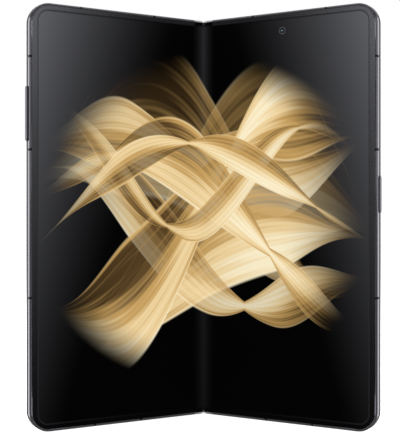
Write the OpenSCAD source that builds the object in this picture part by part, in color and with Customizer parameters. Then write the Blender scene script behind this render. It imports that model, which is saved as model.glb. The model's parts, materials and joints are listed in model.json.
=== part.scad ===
// Book-style folding telephone, standing half open on its bottom edges.
// Each half is drawn flat in its own directions: u runs outward from the fold
// line (along X), w runs from the front face to the back (along Y), z runs up.
// The halves then turn about their own hinge axes by fold_tilt.

/* [Body] */
// Height of each half
body_h = 156.7; // [145:0.1:170]
// Width of each half, from the fold line to its outer edge
half_w = 72.7; // [70:0.1:80]
// Thickness of the unfolded body
body_t = 4.7; // [4.6:0.05:5.4]
// Radius of the outer corners, seen from the front
corner_r = 8; // [6:0.5:11]
// Radius of the corners at the fold line, seen from the front
fold_corner_r = 1.8; // [1:0.1:2.4]
// Rounding along the outer edges behind
back_edge_r = 1.6; // [1.2:0.05:1.6]
// Rounding along the outer edges in front
front_edge_r = 0.7; // [0.4:0.05:0.95]
// Thickness of the outer wall
wall_t = 1.9; // [1.7:0.1:2.3]
// Thickness of the plate that carries the inner screen
plate_t = 0.5; // [0.4:0.05:0.7]
// Width of the ribs between the bays
rib_t = 1.6; // [1.2:0.1:2.4]
// Height of the upper bay
upper_bay_h = 50; // [50:0.5:54]
// Height of the lower bay
lower_bay_h = 34; // [33:0.5:38]

/* [Pose] */
// Turn of each half away from flat
fold_tilt = 29.5; // [5:0.5:60]

/* [Inner screen] */
// Depth of the screen's surface below the front of the bezel
screen_drop = 0.35; // [0.25:0.05:0.4]
// Thickness of the inner screen
screen_t = 0.45; // [0.35:0.05:0.5]
// Width of the frame's lip beside the bezel
lip_w = 0.8; // [0.6:0.05:1.1]
// Gap between the lip and the bezel
lip_gap = 0.15; // [0.1:0.05:0.25]
// Width of the bezel at the sides
bezel_w = 2.05; // [1.4:0.05:3]
// Width of the bezel at the top and the bottom
bezel_end_w = 1.55; // [1.2:0.05:2.5]
// Distance from the fold line to the bezel's end
bezel_end_u = 4.55; // [4.45:0.05:6]
// Corner radius of the visible screen
screen_corner_r = 4.3; // [2:0.1:5]
// Distance from the fold line to the inner camera
inner_camera_u = 34.8; // [33:0.1:40]
// Distance from the top edge to the inner camera
inner_camera_top = 7.15; // [6.5:0.05:9]
// Radius of the inner camera's window
inner_camera_r = 1.5; // [1:0.05:2]

/* [Hinge] */
// Distance from the fold line to each hinge axis
axis_u = 1.4; // [1.35:0.05:1.5]
// Gap between the two fronts when folded
fold_gap = 0.2; // [0.1:0.05:0.3]
// Outer radius of the spine about each hinge axis
spine_r = 2.8; // [2.6:0.05:2.8]
// Wall of the spine cover
spine_wall = 0.5; // [0.4:0.05:0.6]
// Distance from the top and bottom edges to the spine's ends
spine_end = 0.9; // [0.85:0.05:1.5]
// Running gap round the spine and between other moving pieces
run_gap = 0.1; // [0.05:0.01:0.15]
// Teeth on each hinge gear
gear_teeth = 12; // [10:1:14]
// Play between the hinge gears' teeth
gear_play = 0.05; // [0.03:0.01:0.08]
// Radius of the hinge shafts
shaft_r = 0.25; // [0.2:0.01:0.28]
// Running clearance of shafts and pins in their bores
bore_gap = 0.03; // [0.02:0.01:0.05]
// Distance from the body's ends to the middle of each hinge module
module_z = 22; // [16:0.5:30]
// Width of each swing arm
arm_w = 6; // [5:0.5:8]
// Thickness of the swing arms
arm_t = 0.4; // [0.3:0.05:0.4]
// Thickness of the support plates beside the fold
wing_t = 0.35; // [0.25:0.05:0.4]
// Distance from the fold line to the support plates' pivots
wing_pivot_u = 9.8; // [9:0.1:10.4]
// Turn of a support plate for each degree of its half's turn
wing_ratio = 0.07; // [0.05:0.005:0.08]

/* [Back] */
// Thickness of the back covers
back_t = 0.6; // [0.5:0.05:0.7]
// Height of the camera island above the back
island_h = 2.2; // [1.5:0.1:2.6]
// Width of the camera island
island_w = 29; // [28:0.5:32]
// Length of the camera island
island_l = 43; // [42:0.5:46]
// Corner radius of the camera island
island_r = 10; // [6:0.5:12]
// Radius of the two large lenses
lens_r = 6.2; // [5:0.1:6.4]
// Radius of the small lens
small_lens_r = 3.6; // [3:0.1:3.8]

/* [Keys and port] */
// Distance from the top edge down to the power key's middle
power_top = 70; // [66:0.1:80]
// Length of the power key
power_l = 13.5; // [10:0.5:18]
// Height of the power key above the frame
power_h = 0.35; // [0.25:0.05:0.5]
// Distance from the top edge down to the volume rocker's middle
volume_top = 40.6; // [37:0.1:41]
// Length of the volume rocker
volume_l = 19.9; // [16:0.1:20]
// Height of the volume rocker above the frame
volume_h = 0.5; // [0.35:0.05:0.6]
// Width of both keys across the frame
key_w = 1.9; // [1.5:0.1:2.2]
// Width of the port's mouth
port_w = 8.34; // [8:0.02:9]
// Height of the port's mouth
port_h = 2.56; // [2.4:0.02:2.6]
// Depth of the port
port_d = 6.7; // [6:0.1:7.5]
// Width of the card tray's head
tray_w = 11; // [10:0.5:13]

/* [Hidden] */
$fn = 48;
// Overlap of joined shapes, overrun of cuts, and a size beyond the whole object
EPS = 0.01;
OVER = 1;
FAR = 60;

// Depths through the thickness
axis_w = axis_u - fold_gap / 2;
seat_w = screen_drop + screen_t;
bay_w = seat_w + plate_t;
back_w = body_t - back_t;
mid_w = body_t / 2;
cavity_r = spine_r + run_gap;
flap_w = axis_w + cavity_r;
flap_u = 0.15;
wing_gap = 0.05;
wing_w = seat_w + wing_gap;
arm_under_w = wing_w + arm_t;

// Outlines seen from the front
bezel_in = lip_w + lip_gap;
screen_step = 0.2;
screen_in = bezel_in + screen_step;
back_in = 1;
back_u = 5.2;
fit_gap = 0.05;
rail_u = 11.6;
bay_out = half_w - wall_t;
upper_z1 = body_h - wall_t;
upper_z0 = upper_z1 - upper_bay_h;
middle_z1 = upper_z0 - rib_t;
lower_z0 = wall_t;
lower_z1 = lower_z0 + lower_bay_h;
middle_z0 = lower_z1 + rib_t;
bay_r = 2;
part_gap = 0.3;

// Antenna bands: heights on the long edge, distances from the fold line on the ends
band_w = 0.9;
band_depth = 1.3;
band_high = 20;
band_middle = 53.8;
band_low = 49.1;
side_bands = [body_h - band_high, body_h - band_middle, band_low];
top_band_out = 20;
top_band_in = 22.4;
top_bands = [half_w - top_band_out, top_band_in];
port_u = (half_w + flap_u) / 2;
bottom_band_out = 10.775;
bottom_band_in = 8.325;
bottom_bands = [port_u + bottom_band_out, port_u - bottom_band_in];

// Screen across the fold: a strip of two flats and an arc, with its middle held at the flat level
fold_half = 4.6;
strip_in = 1.4;
flat_u = 2 * axis_u;
seal_r = 0.45;
seal_in = lip_w + fit_gap;

// Turned place of the point (u, w) of a half
function turned(u, w) = [
    axis_u + (u - axis_u) * cos(fold_tilt) + (w - axis_w) * sin(fold_tilt),
    axis_w - (u - axis_u) * sin(fold_tilt) + (w - axis_w) * cos(fold_tilt)];
fold_point = turned(0, screen_drop);
fold_arc_r = (fold_point[0] * sin(fold_tilt) + (fold_point[1] - screen_drop) * cos(fold_tilt))
    / (1 - cos(fold_tilt));

// The object's middle in depth, near halfway from the outer edge's front to the spine's back
front_y = turned(half_w, back_edge_r)[1] - back_edge_r;
back_y = axis_w + spine_r;
shift_y = -(front_y + back_y) / 2;

// Gears: pitch radius a quarter of the way between the axes by way of two idlers
gear_pitch_r = axis_u / 2;
gear_m = 2 * gear_pitch_r / gear_teeth;
idler_u = gear_pitch_r;
idler_w = axis_w + sqrt(pow(2 * gear_pitch_r, 2) - pow(axis_u - idler_u, 2));
mesh_dir = atan2(idler_w - axis_w, idler_u - axis_u);
tooth_pitch = 360 / gear_teeth;
arm_right_phase = mesh_dir;
idler_right_phase = mesh_dir + 180 + tooth_pitch / 2;
idler_left_phase = 180 - idler_right_phase + tooth_pitch / 2;
left_contact = 180 - mesh_dir;
arm_left_phase = 2 * left_contact + 180 - idler_left_phase + tooth_pitch / 2;
dedendum = 1.2;
addendum = 0.9;
tip_r = gear_pitch_r + addendum * gear_m;
root_r = gear_pitch_r - dedendum * gear_m;
tooth_foot = 0.05;
tooth_flare = 0.45;
sector_from = 108;
sector_to = 214;
ring_wall = 0.2;
ring_r = shaft_r + ring_wall;
gear_face = 1.9;
cheek_t = 2;
cheek_half = 2.6;
bracket_l = arm_w + 2 * cheek_t + 2 * run_gap;
idler_pin_r = 0.2;
rail_half = 0.85;
rail_web_half = 0.35;
rail_end_gap = 1;
spine_end_t = 0.8;
spine_rim_end = 0.15;
arm_end_u = 9.4;
arm_screw_u = 7.2;
arm_screw_r = 0.6;
arm_screw_l = 1.55;
arm_hole_l = 2;
arm_side_gap = 0.6;
seat_gap = 0.4;

// Support plates
wing_u0 = 2;
wing_edge = 0.5;
wing_u1 = wing_pivot_u + wing_edge;
wing_end = 8;
wing_pin_r = 0.28;
wing_knuckle_r = 0.5;
wing_pivot_w = wing_w + wing_knuckle_r;
wing_knuckle_l = 4;
wing_stations = [0.25, 0.5, 0.75];
boss_t = 1;
boss_gap = 0.2;
boss_half = 0.6;
wing_bend_u = 4.2;
pocket_w = wing_w + wing_t + (wing_pivot_u - wing_bend_u) * sin(90 * wing_ratio) + run_gap;
pocket_u1 = wing_u1 + seat_gap;
pocket_end_gap = 0.5;

// Back and cameras
island_edge = 18.7;
island_u = half_w - island_edge;
island_top = 27;
island_z = body_h - island_top;
island_flange = 1.2;
island_flange_t = 0.4;
lens_step = 0.6;
lens_glass_t = 0.5;
lens_offset = 11;
small_lens_du = -8.6;
flash_du = 8.8;
flash_r = 1.8;
flash_gap = 0.1;
flash_board = [4, 6, 0.6];
camera_base = 12;
small_camera_base = 7;
base_gap = 0.5;
barrel_gap = 0.15;
barrel_drop = 0.2;
cup_rim = 0.6;
cup_ratio = 0.45;
cup_d = 1.2;
cover_camera_top = 8;
cover_camera_r = 1.6;
cover_camera_base = 5.2;
cover_camera_base_t = 1.2;
cover_camera_hole_gap = 0.2;
cover_camera_cup = 0.4;
window_rim = 0.5;
inner_camera_base = 5;
inner_camera_l = 2;
inner_camera_cup = 0.3;
camera_seat_gap = 0.8;
panel_t = 0.35;
panel_in = 0.5;
panel_gap = 0.15;

// Keys
power_z = body_h - power_top;
volume_z = body_h - volume_top;
key_flange = 0.6;
key_flange_t = 0.4;
key_c = bay_w + (key_w + key_flange) / 2 + fit_gap;
key_travel = 0.25;
key_room = 2.4;
rocker_swing = 0.35;
switch_t = 0.8;
switch_l = 5;
switch_drop = 0.9;
button_h = 0.9;
button_r = 0.8;
rocker_pin_r = 0.35;
rocker_pin_l = 2;
rocker_pin_drop = 0.6;
rocker_pin_u = bay_out - rocker_swing - key_flange_t - rocker_pin_drop;
knuckle_r = 0.75;
knuckle_l = 1.2;
ear_c = 0.85;
ear_t = 0.4;
ear_half = 0.8;
ear_tip = 0.45;
ear_base = 1.2;
rocker_switch_half = 8;
dome_step = 6;
dome_r = 0.7;
dome_h = 0.25;

// Port, sound holes and card tray
port_c = 2.45;
port_wall = 0.25;
port_back_t = 0.6;
port_inset = 0.25;
port_end = port_inset + port_d;
port_room = 1;
port_room_end = 0.8;
port_seat_in = 0.5;
port_foot = [3, 1.8];
tongue_t = 0.7;
tongue_in = 0.8;
mic_u = port_u - 12;
mic_r = 0.3;
grille_r = 0.45;
grille_n = 6;
grille_pitch = 1.8;
speaker_edge = 20.7;
speaker_u0 = half_w - speaker_edge;
grille_in = 4;
grille_u0 = speaker_u0 + grille_in;
tray_u = 29.6;
tray_t = 1.6;
tray_l = 16;
tray_head_gap = 0.2;
tray_in = 0.3;
tray_half_t = 0.5;
tray_rim = 1;
tray_floor = 0.3;
eject_in = 1.2;
eject_r = 0.4;
reader_side = 1;
reader_wall = 0.8;
reader_below = 1.5;
reader_gap = 2.5;
cover_camera_u = tray_u + tray_w / 2 + reader_side + reader_gap + cover_camera_base / 2;

// Inner pieces
post_r = 1.4;
post_hole_r = 0.4;
post_h = 1.3;
post_in = 3.2;
upper_post_in = 6;
post_gap = 0.2;
head_r = 1.1;
head_t = 0.4;
screw_foot = 0.3;
block_r = 1;
top_gap = 0.2;
board_t = 0.6;
board_gap = 1.3;
board_u1 = inner_camera_u - inner_camera_base / 2 - board_gap;
board_strip_h = 7.2;
can_in = 2;
can_edge = 1.5;
can_l = 18;
can_t = 1.4;
lower_board_in = 12;
lower_board_gap = 2.5;
sub_board_edge = 6;
sub_board_gap = 1;
speaker_r = 1.5;
bottom_speaker_top = 7;
top_speaker_l = 14;
motor_in = 0.6;
motor_w = 10;
motor_gap = 3;
motor_top = 8;
motor_drop = 0.4;

// Bodies of work: outline shapes (x = u, y = z)
module rounded(u0, z0, u1, z1, r) {
    translate([u0, z0 + r]) square([u1 - u0, z1 - z0 - 2 * r]);
    translate([u0 + r, z0]) square([u1 - u0 - 2 * r, z1 - z0]);
    for (u = [u0 + r, u1 - r], z = [z0 + r, z1 - r]) translate([u, z]) circle(r);
}

// Outline of a half, drawn in by d, from u0 outward
module outline(d, u0) {
    r = corner_r - d;
    translate([u0, d]) square([half_w - corner_r - u0, body_h - 2 * d]);
    translate([u0, corner_r]) square([half_w - d - u0, body_h - 2 * corner_r]);
    for (z = [corner_r, body_h - corner_r]) translate([half_w - corner_r, z]) circle(r);
}

// Slot shape: a bar of width b and length l with round ends, upright
module slot(b, l) {
    square([b, l - b], center = true);
    for (s = [-1, 1]) translate([0, s * (l - b) / 2]) circle(b / 2);
}

// Extrusions along w, along u and along z
module slab(w0, w1) translate([0, w1, 0]) rotate([90, 0, 0]) linear_extrude(w1 - w0) children();
module across(u0, u1) translate([u0, 0, 0]) rotate([90, 0, 90]) linear_extrude(u1 - u0) children();
module upright(z0, z1) translate([0, 0, z0]) linear_extrude(z1 - z0) children();

// Box from one corner to the other
module block(p, q) translate(p) cube(q - p);

// Places of the halves
module place_right()
    translate([axis_u, axis_w + shift_y, 0]) rotate([0, 0, -fold_tilt]) translate([-axis_u, -axis_w, 0])
        children();
module place_left() mirror([1, 0, 0]) place_right() children();
module place_spine() translate([0, shift_y, 0]) children();
module wing_turned()
    translate([wing_pivot_u, wing_pivot_w, 0]) rotate([0, 0, -fold_tilt * wing_ratio])
        translate([-wing_pivot_u, -wing_pivot_w, 0]) children();

// Section of the outer rim, from x = 0 to the edge at x = corner_r, with the back at y = 0
module rim_section() {
    square([corner_r - back_edge_r, body_t]);
    translate([0, back_edge_r]) {
        square([corner_r, body_t - back_edge_r - front_edge_r]);
        square([corner_r - front_edge_r, body_t - back_edge_r]);
    }
    translate([corner_r - back_edge_r, back_edge_r]) circle(back_edge_r);
    translate([corner_r - front_edge_r, body_t - front_edge_r]) circle(front_edge_r);
}

// Whole half with rounded outer edges, from u0 outward
module half_blank(u0) {
    cu = half_w - corner_r;
    straight_h = body_h - 2 * corner_r;
    translate([0, body_t, 0]) rotate([90, 0, 0]) {
        translate([u0, corner_r, 0]) cube([cu - u0, straight_h, body_t]);
        translate([cu, corner_r + straight_h, 0]) rotate([90, 0, 0])
            linear_extrude(straight_h) rim_section();
        for (m = [0, 1]) translate([0, m * body_h, 0]) mirror([0, m, 0]) {
            translate([u0, corner_r, 0]) mirror([0, 1, 0]) rotate([90, 0, 90])
                linear_extrude(cu - u0) rim_section();
            translate([cu, corner_r, 0]) rotate([0, 0, -90]) rotate_extrude(angle = 90) rim_section();
        }
    }
}

// Round cut for the corners at the fold line
module fold_corner_cut(w0, w1)
    for (m = [0, 1]) translate([0, 0, m * body_h]) mirror([0, 0, m])
        slab(w0, w1) difference() {
            translate([flap_u - OVER, -OVER])
                square([fold_corner_r + OVER, fold_corner_r + OVER]);
            translate([flap_u + fold_corner_r, fold_corner_r]) circle(fold_corner_r);
        }

module bays() intersection() {
    outline(wall_t, rail_u);
    union() {
        rounded(rail_u, upper_z0, half_w, body_h, bay_r);
        rounded(rail_u, middle_z0, half_w, middle_z1, bay_r);
        rounded(rail_u, 0, half_w, lower_z1, bay_r);
    }
}

module band_cutters(d) {
    for (z = side_bands)
        block([half_w - d, -OVER, z - band_w / 2], [half_w + OVER, body_t + OVER, z + band_w / 2]);
    for (u = top_bands)
        block([u - band_w / 2, -OVER, body_h - d], [u + band_w / 2, body_t + OVER, body_h + OVER]);
    for (u = bottom_bands)
        block([u - band_w / 2, -OVER, -OVER], [u + band_w / 2, body_t + OVER, d]);
}

// Bands follow the lip in front and the outer wall behind
module bands() difference() {
    intersection() {
        half_blank(rail_u);
        band_cutters(band_depth);
    }
    slab(-OVER, seat_w) outline(lip_w, 0);
    slab(back_w, body_t + OVER) outline(back_in - fit_gap, back_u);
}

function post_places() = [
    [rail_u + post_in, lower_z1 - post_in], [bay_out - post_in, lower_z1 - post_in],
    [rail_u + post_in, upper_z0 + post_in], [bay_out - upper_post_in, upper_z0 + post_in]];

module posts() for (p = post_places()) translate([p[0], 0, p[1]]) slab(bay_w - EPS, bay_w + post_h)
    difference() {
        circle(post_r);
        circle(post_hole_r);
    }

module arm_places() for (z = [module_z, body_h - module_z]) translate([0, 0, z]) children();

// Room for one swing arm between two depths
module arm_seat(w0, w1)
    block([0, w0, -arm_w / 2 - arm_side_gap], [arm_end_u + seat_gap, w1, arm_w / 2 + arm_side_gap]);

module half_frame() {
    color("#5a5b60") {
        difference() {
            half_blank(flap_u);
            fold_corner_cut(-OVER, body_t + OVER);
            slab(-OVER, seat_w) outline(bezel_in, -OVER);
            // Corners at the fold, kept by the hinge caps
            for (z = [-OVER, body_h - lip_w])
                block([-OVER, -OVER, z], [bezel_end_u, axis_w, z + lip_w + OVER]);
            // Hollow round the spine
            slab(-OVER, axis_w) translate([-OVER, -OVER])
                square([axis_u + cavity_r + OVER, body_h + 2 * OVER]);
            upright(-OVER, body_h + OVER) {
                translate([axis_u, axis_w]) circle(cavity_r);
                translate([-OVER, 0]) square([axis_u + OVER, flap_w]);
            }
            // Pocket for the support plate, left standing under the swing arms
            difference() {
                block([0, 0, wing_end - pocket_end_gap],
                    [pocket_u1, pocket_w, body_h - wing_end + pocket_end_gap]);
                arm_places() arm_seat(arm_under_w, pocket_w + OVER);
                wing_bosses(0);
            }
            arm_places() arm_seat(0, arm_under_w);
            arm_places() translate([arm_screw_u, wing_w, 0]) rotate([-90, 0, 0])
                cylinder(r = arm_screw_r, h = arm_hole_l);
            slab(bay_w, body_t + OVER) bays();
            slab(back_w, body_t + OVER) outline(back_in, back_u);
            band_cutters(band_depth);
            wing_pin_holes();
            children();
        }
        posts();
    }
}

// Bosses that hold the pins at each end of a support plate's knuckles
module wing_bosses(d) for (s = wing_stations, m = [-1, 1])
    translate([0, 0, s * body_h + m * (wing_knuckle_l / 2 + boss_gap + boss_t / 2)])
        block([wing_pivot_u - boss_half - d, wing_w + fit_gap - d, -boss_t / 2 - d],
            [pocket_u1 + d + EPS, pocket_w + d + EPS, boss_t / 2 + d]);

module wing_pin_holes() for (s = wing_stations) translate([wing_pivot_u, wing_pivot_w, s * body_h])
    cylinder(r = wing_pin_r, h = wing_knuckle_l + 2 * (boss_gap + boss_t), center = true);

module key_slot(z, l) across(bay_out - OVER, half_w + OVER) translate([key_c, z])
    slot(key_w + 2 * run_gap, l + 2 * run_gap);

module camera_hole(r) translate([inner_camera_u, -OVER, body_h - inner_camera_top])
    rotate([-90, 0, 0]) cylinder(r = r, h = bay_w + 2 * OVER);

// Row of sound holes, upward from z
module grille(z, h) for (i = [0 : grille_n - 1]) translate([grille_u0 + i * grille_pitch, mid_w, z])
    cylinder(r = grille_r, h = h);

module mic_hole() translate([mic_u, mid_w, -OVER]) cylinder(r = mic_r, h = wall_t + 2 * OVER);

module right_frame() place_right() half_frame() {
    key_slot(power_z, power_l);
    camera_hole(inner_camera_r + camera_seat_gap);
    port_wall_w = port_wall + fit_gap;
    upright(-OVER, wall_t + OVER) translate([port_u, port_c]) rotate(90)
        slot(port_h + 2 * port_wall_w, port_w + 2 * port_wall_w);
    block([port_u - port_w / 2 - port_room, port_c - port_h / 2 - port_wall_w, wall_t - port_seat_in],
        [port_u + port_w / 2 + port_room, bay_w + OVER, port_end + port_room_end]);
    grille(-OVER, wall_t + 2 * OVER);
    mic_hole();
}

module left_frame() place_left() half_frame() {
    key_slot(volume_z, volume_l);
    upright(upper_z1 - OVER, body_h + OVER) translate([tray_u, mid_w]) rotate(90)
        slot(tray_t + 2 * run_gap, tray_w + 2 * run_gap);
    grille(upper_z1 - OVER, wall_t + 2 * OVER);
    mic_hole();
    slab(back_w - panel_t, back_w + OVER) panel_outline(fit_gap);
}

module bezel() color("#303136") slab(0, screen_drop) difference() {
    outline(bezel_in, bezel_end_u);
    union() {
        r = screen_corner_r;
        u1 = half_w - bezel_in - bezel_w;
        z0 = bezel_in + bezel_end_w;
        z1 = body_h - z0;
        translate([0, z0]) square([u1 - r, z1 - z0]);
        translate([0, z0 + r]) square([u1, z1 - z0 - 2 * r]);
        for (z = [z0 + r, z1 - r]) translate([u1 - r, z]) circle(r);
    }
}

// Light metal corners that close the frame's ends beside the fold
module hinge_caps() color("#b9bac0") difference() {
    intersection() {
        for (z = [0, body_h - lip_w + EPS]) upright(z, z + lip_w - EPS) intersection() {
            union() {
                translate([axis_u, axis_w]) circle(axis_u - fit_gap);
                translate([axis_u, 0]) square([bezel_end_u - axis_u, axis_w]);
            }
            square([bezel_end_u, axis_w - run_gap]);
        }
        half_blank(0);
    }
    fold_corner_cut(-OVER, axis_w + OVER);
}

module display_half() slab(screen_drop, seat_w) intersection() {
    outline(screen_in, fold_half);
    translate([0, screen_in]) square([half_w, body_h - 2 * screen_in]);
}

// Swing arm in its own module, with the tooth phase of its gear
module swing_arm(phase) color("#8d9096") difference() {
    union() {
        block([axis_u, wing_w, -arm_w / 2], [arm_end_u, arm_under_w, arm_w / 2]);
        translate([axis_u, axis_w, -arm_w / 2]) cylinder(r = ring_r, h = arm_w);
        translate([axis_u, axis_w, -arm_w / 2]) linear_extrude(gear_face) intersection() {
            gear_outline(phase);
            sector(sector_from, sector_to, 2);
        }
    }
    translate([axis_u, axis_w, -arm_w]) cylinder(r = shaft_r + bore_gap, h = 2 * arm_w);
    translate([arm_screw_u, 0, 0]) rotate([-90, 0, 0])
        cylinder(r = arm_screw_r, h = arm_under_w + OVER);
}

// Gear outline: teeth with straight flanks narrowed by the play
module gear_outline(phase) {
    half_pitch = 90 / gear_teeth - gear_play / 2 / gear_pitch_r * 180 / PI / 2;
    flare = tooth_flare * half_pitch;
    circle(root_r);
    for (i = [0 : gear_teeth - 1]) rotate(phase + i * tooth_pitch) polygon([
        for (p = [[root_r - tooth_foot, half_pitch + flare], [gear_pitch_r, half_pitch],
            [tip_r, half_pitch - flare]]) p[0] * [cos(p[1]), -sin(p[1])],
        for (p = [[tip_r, half_pitch - flare], [gear_pitch_r, half_pitch],
            [root_r - tooth_foot, half_pitch + flare]]) p[0] * [cos(p[1]), sin(p[1])]]);
}

module sector(from, to, r) polygon(concat([[0, 0]],
    [for (i = [0 : 4]) r * [cos(from + i * (to - from) / 4), sin(from + i * (to - from) / 4)]]));

module idler(phase) color("#a08a55") difference() {
    translate([0, 0, -arm_w / 2]) linear_extrude(gear_face) gear_outline(phase);
    translate([0, 0, -arm_w]) cylinder(r = idler_pin_r + bore_gap, h = 2 * arm_w);
}

// Section of the spine's trough, outer radius r about each axis, behind the axes
module trough(r) intersection() {
    union() {
        for (s = [-1, 1]) translate([s * axis_u, axis_w]) circle(r);
        translate([-axis_u, axis_w]) square([2 * axis_u, r]);
    }
    translate([-FAR, axis_w]) square([2 * FAR, FAR]);
}

module spine_cover() place_spine() color("#47484d") {
    upright(spine_end, body_h - spine_end) difference() {
        trough(spine_r);
        trough(spine_r - spine_wall);
    }
    for (m = [0, 1]) translate([0, 0, m * body_h]) mirror([0, 0, m]) {
        upright(spine_end, spine_end + spine_end_t) trough(spine_r - spine_wall / 2);
        // Rim that closes the ends behind the swing of the hinge caps
        upright(spine_rim_end, spine_end + EPS) difference() {
            trough(spine_r);
            for (s = [-1, 1]) translate([s * axis_u, axis_w]) circle(axis_u + run_gap);
        }
    }
}

// Bracket that carries the shafts and the idlers' pins between two cheeks
module bracket() color("#75777d") {
    floor_w = axis_w + spine_r - spine_wall;
    difference() {
        union() {
            for (s = [-1, 1]) translate([0, 0, s * (arm_w / 2 + run_gap + cheek_t / 2) - cheek_t / 2])
                linear_extrude(cheek_t) {
                    intersection() {
                        trough(spine_r - spine_wall);
                        translate([-cheek_half, 0]) square([2 * cheek_half, FAR]);
                    }
                    for (m = [-1, 1]) translate([m * axis_u, axis_w]) circle(ring_r);
                }
            block([-axis_u, idler_w + tip_r + fit_gap, -bracket_l / 2], [axis_u, floor_w, bracket_l / 2]);
        }
        for (m = [-1, 1]) {
            translate([m * axis_u, axis_w, -bracket_l]) cylinder(r = shaft_r, h = 2 * bracket_l);
            translate([m * idler_u, idler_w, -bracket_l]) cylinder(r = idler_pin_r, h = 2 * bracket_l);
        }
    }
}

module hinge_bracket_top() place_spine() translate([0, 0, body_h - module_z]) bracket();
module hinge_bracket_bottom() place_spine() translate([0, 0, module_z]) bracket();

module hinge_shafts() place_spine() color("#c9cacd") arm_places() for (m = [-1, 1])
    translate([m * axis_u, axis_w, 0]) cylinder(r = shaft_r, h = bracket_l, center = true);

module idler_pins() place_spine() color("#c9cacd") arm_places() for (m = [-1, 1])
    translate([m * idler_u, idler_w, 0]) cylinder(r = idler_pin_r, h = bracket_l, center = true);

module idler_gears_right() place_spine() arm_places() translate([idler_u, idler_w, 0])
    idler(idler_right_phase + fold_tilt);
module idler_gears_left() place_spine() arm_places() translate([-idler_u, idler_w, 0])
    idler(idler_left_phase - fold_tilt);

// Rail that holds the middle of the screen between the hinge modules
module fold_rail() place_spine() color("#75777d") {
    gap = module_z + bracket_l / 2 + rail_end_gap;
    block([-rail_half, wing_w, gap], [rail_half, axis_w, body_h - gap]);
    block([-rail_web_half, axis_w - EPS, gap],
        [rail_web_half, axis_w + spine_r - spine_wall, body_h - gap]);
}

// Screen across the fold
module strip_section(t) {
    for (m = [0, 1]) mirror([m, 0]) translate([axis_u, axis_w]) rotate(-fold_tilt)
        translate([-axis_u, -axis_w]) translate([flat_u, screen_drop])
            square([fold_half - flat_u, t]);
    intersection() {
        translate([0, screen_drop - fold_arc_r]) difference() {
            circle(fold_arc_r + t, $fn = 180);
            circle(fold_arc_r, $fn = 180);
        }
        translate([0, screen_drop - fold_arc_r]) polygon([[0, 0],
            2 * (fold_arc_r + t) * [sin(fold_tilt), cos(fold_tilt)],
            2 * (fold_arc_r + t) * [-sin(fold_tilt), cos(fold_tilt)]]);
    }
}

module inner_display_fold() place_spine() color("#1b1b1f") difference() {
    upright(strip_in, body_h - strip_in) strip_section(screen_t);
    for (z = [strip_in, body_h - strip_in]) translate([0, -OVER, z]) rotate([-90, 0, 0])
        cylinder(r = 2 * seal_r, h = seat_w + 2 * OVER);
}

// Soft seals in the gap at the two ends of the fold
module fold_seals() place_spine() color("#101012") for (m = [0, 1]) translate([0, 0, m * body_h])
    mirror([0, 0, m]) slab(screen_drop, axis_w) {
        translate([-seal_r, seal_in]) square([2 * seal_r, strip_in - seal_in]);
        translate([0, strip_in]) circle(seal_r);
    }

module right_bezel() place_right() bezel();
module left_bezel() place_left() bezel();
module right_hinge_caps() place_right() hinge_caps();
module left_hinge_caps() place_left() hinge_caps();
module right_arms() place_right() arm_places() swing_arm(arm_right_phase);
module left_arms() place_left() arm_places() swing_arm(180 - arm_left_phase);

module wing_plate() color("#9a9ca1") wing_turned() difference() {
    union() {
        block([wing_u0, wing_w, wing_end], [wing_u1, wing_w + wing_t, body_h - wing_end]);
        for (s = wing_stations) translate([wing_pivot_u, wing_pivot_w, s * body_h])
            cylinder(r = wing_knuckle_r, h = wing_knuckle_l, center = true);
    }
    for (s = wing_stations) translate([wing_pivot_u, wing_pivot_w, s * body_h])
        cylinder(r = wing_pin_r + bore_gap, h = 2 * wing_knuckle_l, center = true);
    arm_places() block([0, 0, -bracket_l / 2 - pocket_end_gap],
        [wing_u1 + OVER, pocket_w, bracket_l / 2 + pocket_end_gap]);
    wing_bosses(boss_gap);
}

module wing_pins() color("#c9cacd") for (s = wing_stations)
    translate([wing_pivot_u, wing_pivot_w, s * body_h])
        cylinder(r = wing_pin_r, h = wing_knuckle_l + 2 * (boss_gap + boss_t), center = true);

module right_wing_plate() place_right() wing_plate();
module left_wing_plate() place_left() wing_plate();
module right_wing_pins() place_right() wing_pins();
module left_wing_pins() place_left() wing_pins();

module inner_display_right() place_right() color("#1b1b1f") difference() {
    display_half();
    camera_hole(inner_camera_r + fit_gap);
}
module inner_display_left() place_left() color("#1b1b1f") display_half();

module inner_camera() place_right() color("#2a2b2e")
    translate([inner_camera_u, 0, body_h - inner_camera_top]) difference() {
        union() {
            slab(screen_drop + fit_gap, bay_w + EPS) circle(inner_camera_r);
            slab(bay_w, bay_w + inner_camera_l) square(inner_camera_base, center = true);
        }
        slab(0, screen_drop + inner_camera_cup) circle(inner_camera_r - window_rim);
    }

module rear_cover() place_right() color("#33343a") difference() {
    slab(back_w, body_t) outline(back_in + fit_gap, back_u + fit_gap);
    slab(back_w - OVER, body_t + OVER) island_outline(fit_gap);
}

module island_outline(d) translate([island_u, island_z])
    rounded(-island_w / 2 - d, -island_l / 2 - d, island_w / 2 + d, island_l / 2 + d, island_r + d);

// Centres and radii of the lenses on the camera island
function lenses() = [
    [island_u, island_z + lens_offset, lens_r],
    [island_u, island_z - lens_offset, lens_r],
    [island_u + small_lens_du, island_z, small_lens_r]];

module camera_island() place_right() color("#3d3e44") difference() {
    union() {
        slab(back_w - island_flange_t, back_w) island_outline(island_flange);
        slab(back_w - EPS, body_t + island_h) island_outline(0);
    }
    for (p = lenses()) translate([p[0], 0, p[1]]) {
        slab(back_w - OVER, FAR) circle(p[2] - lens_step);
        slab(body_t + island_h - lens_glass_t, FAR) circle(p[2]);
    }
    translate([island_u + flash_du, 0, island_z]) slab(back_w - OVER, FAR) circle(flash_r);
}

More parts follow.
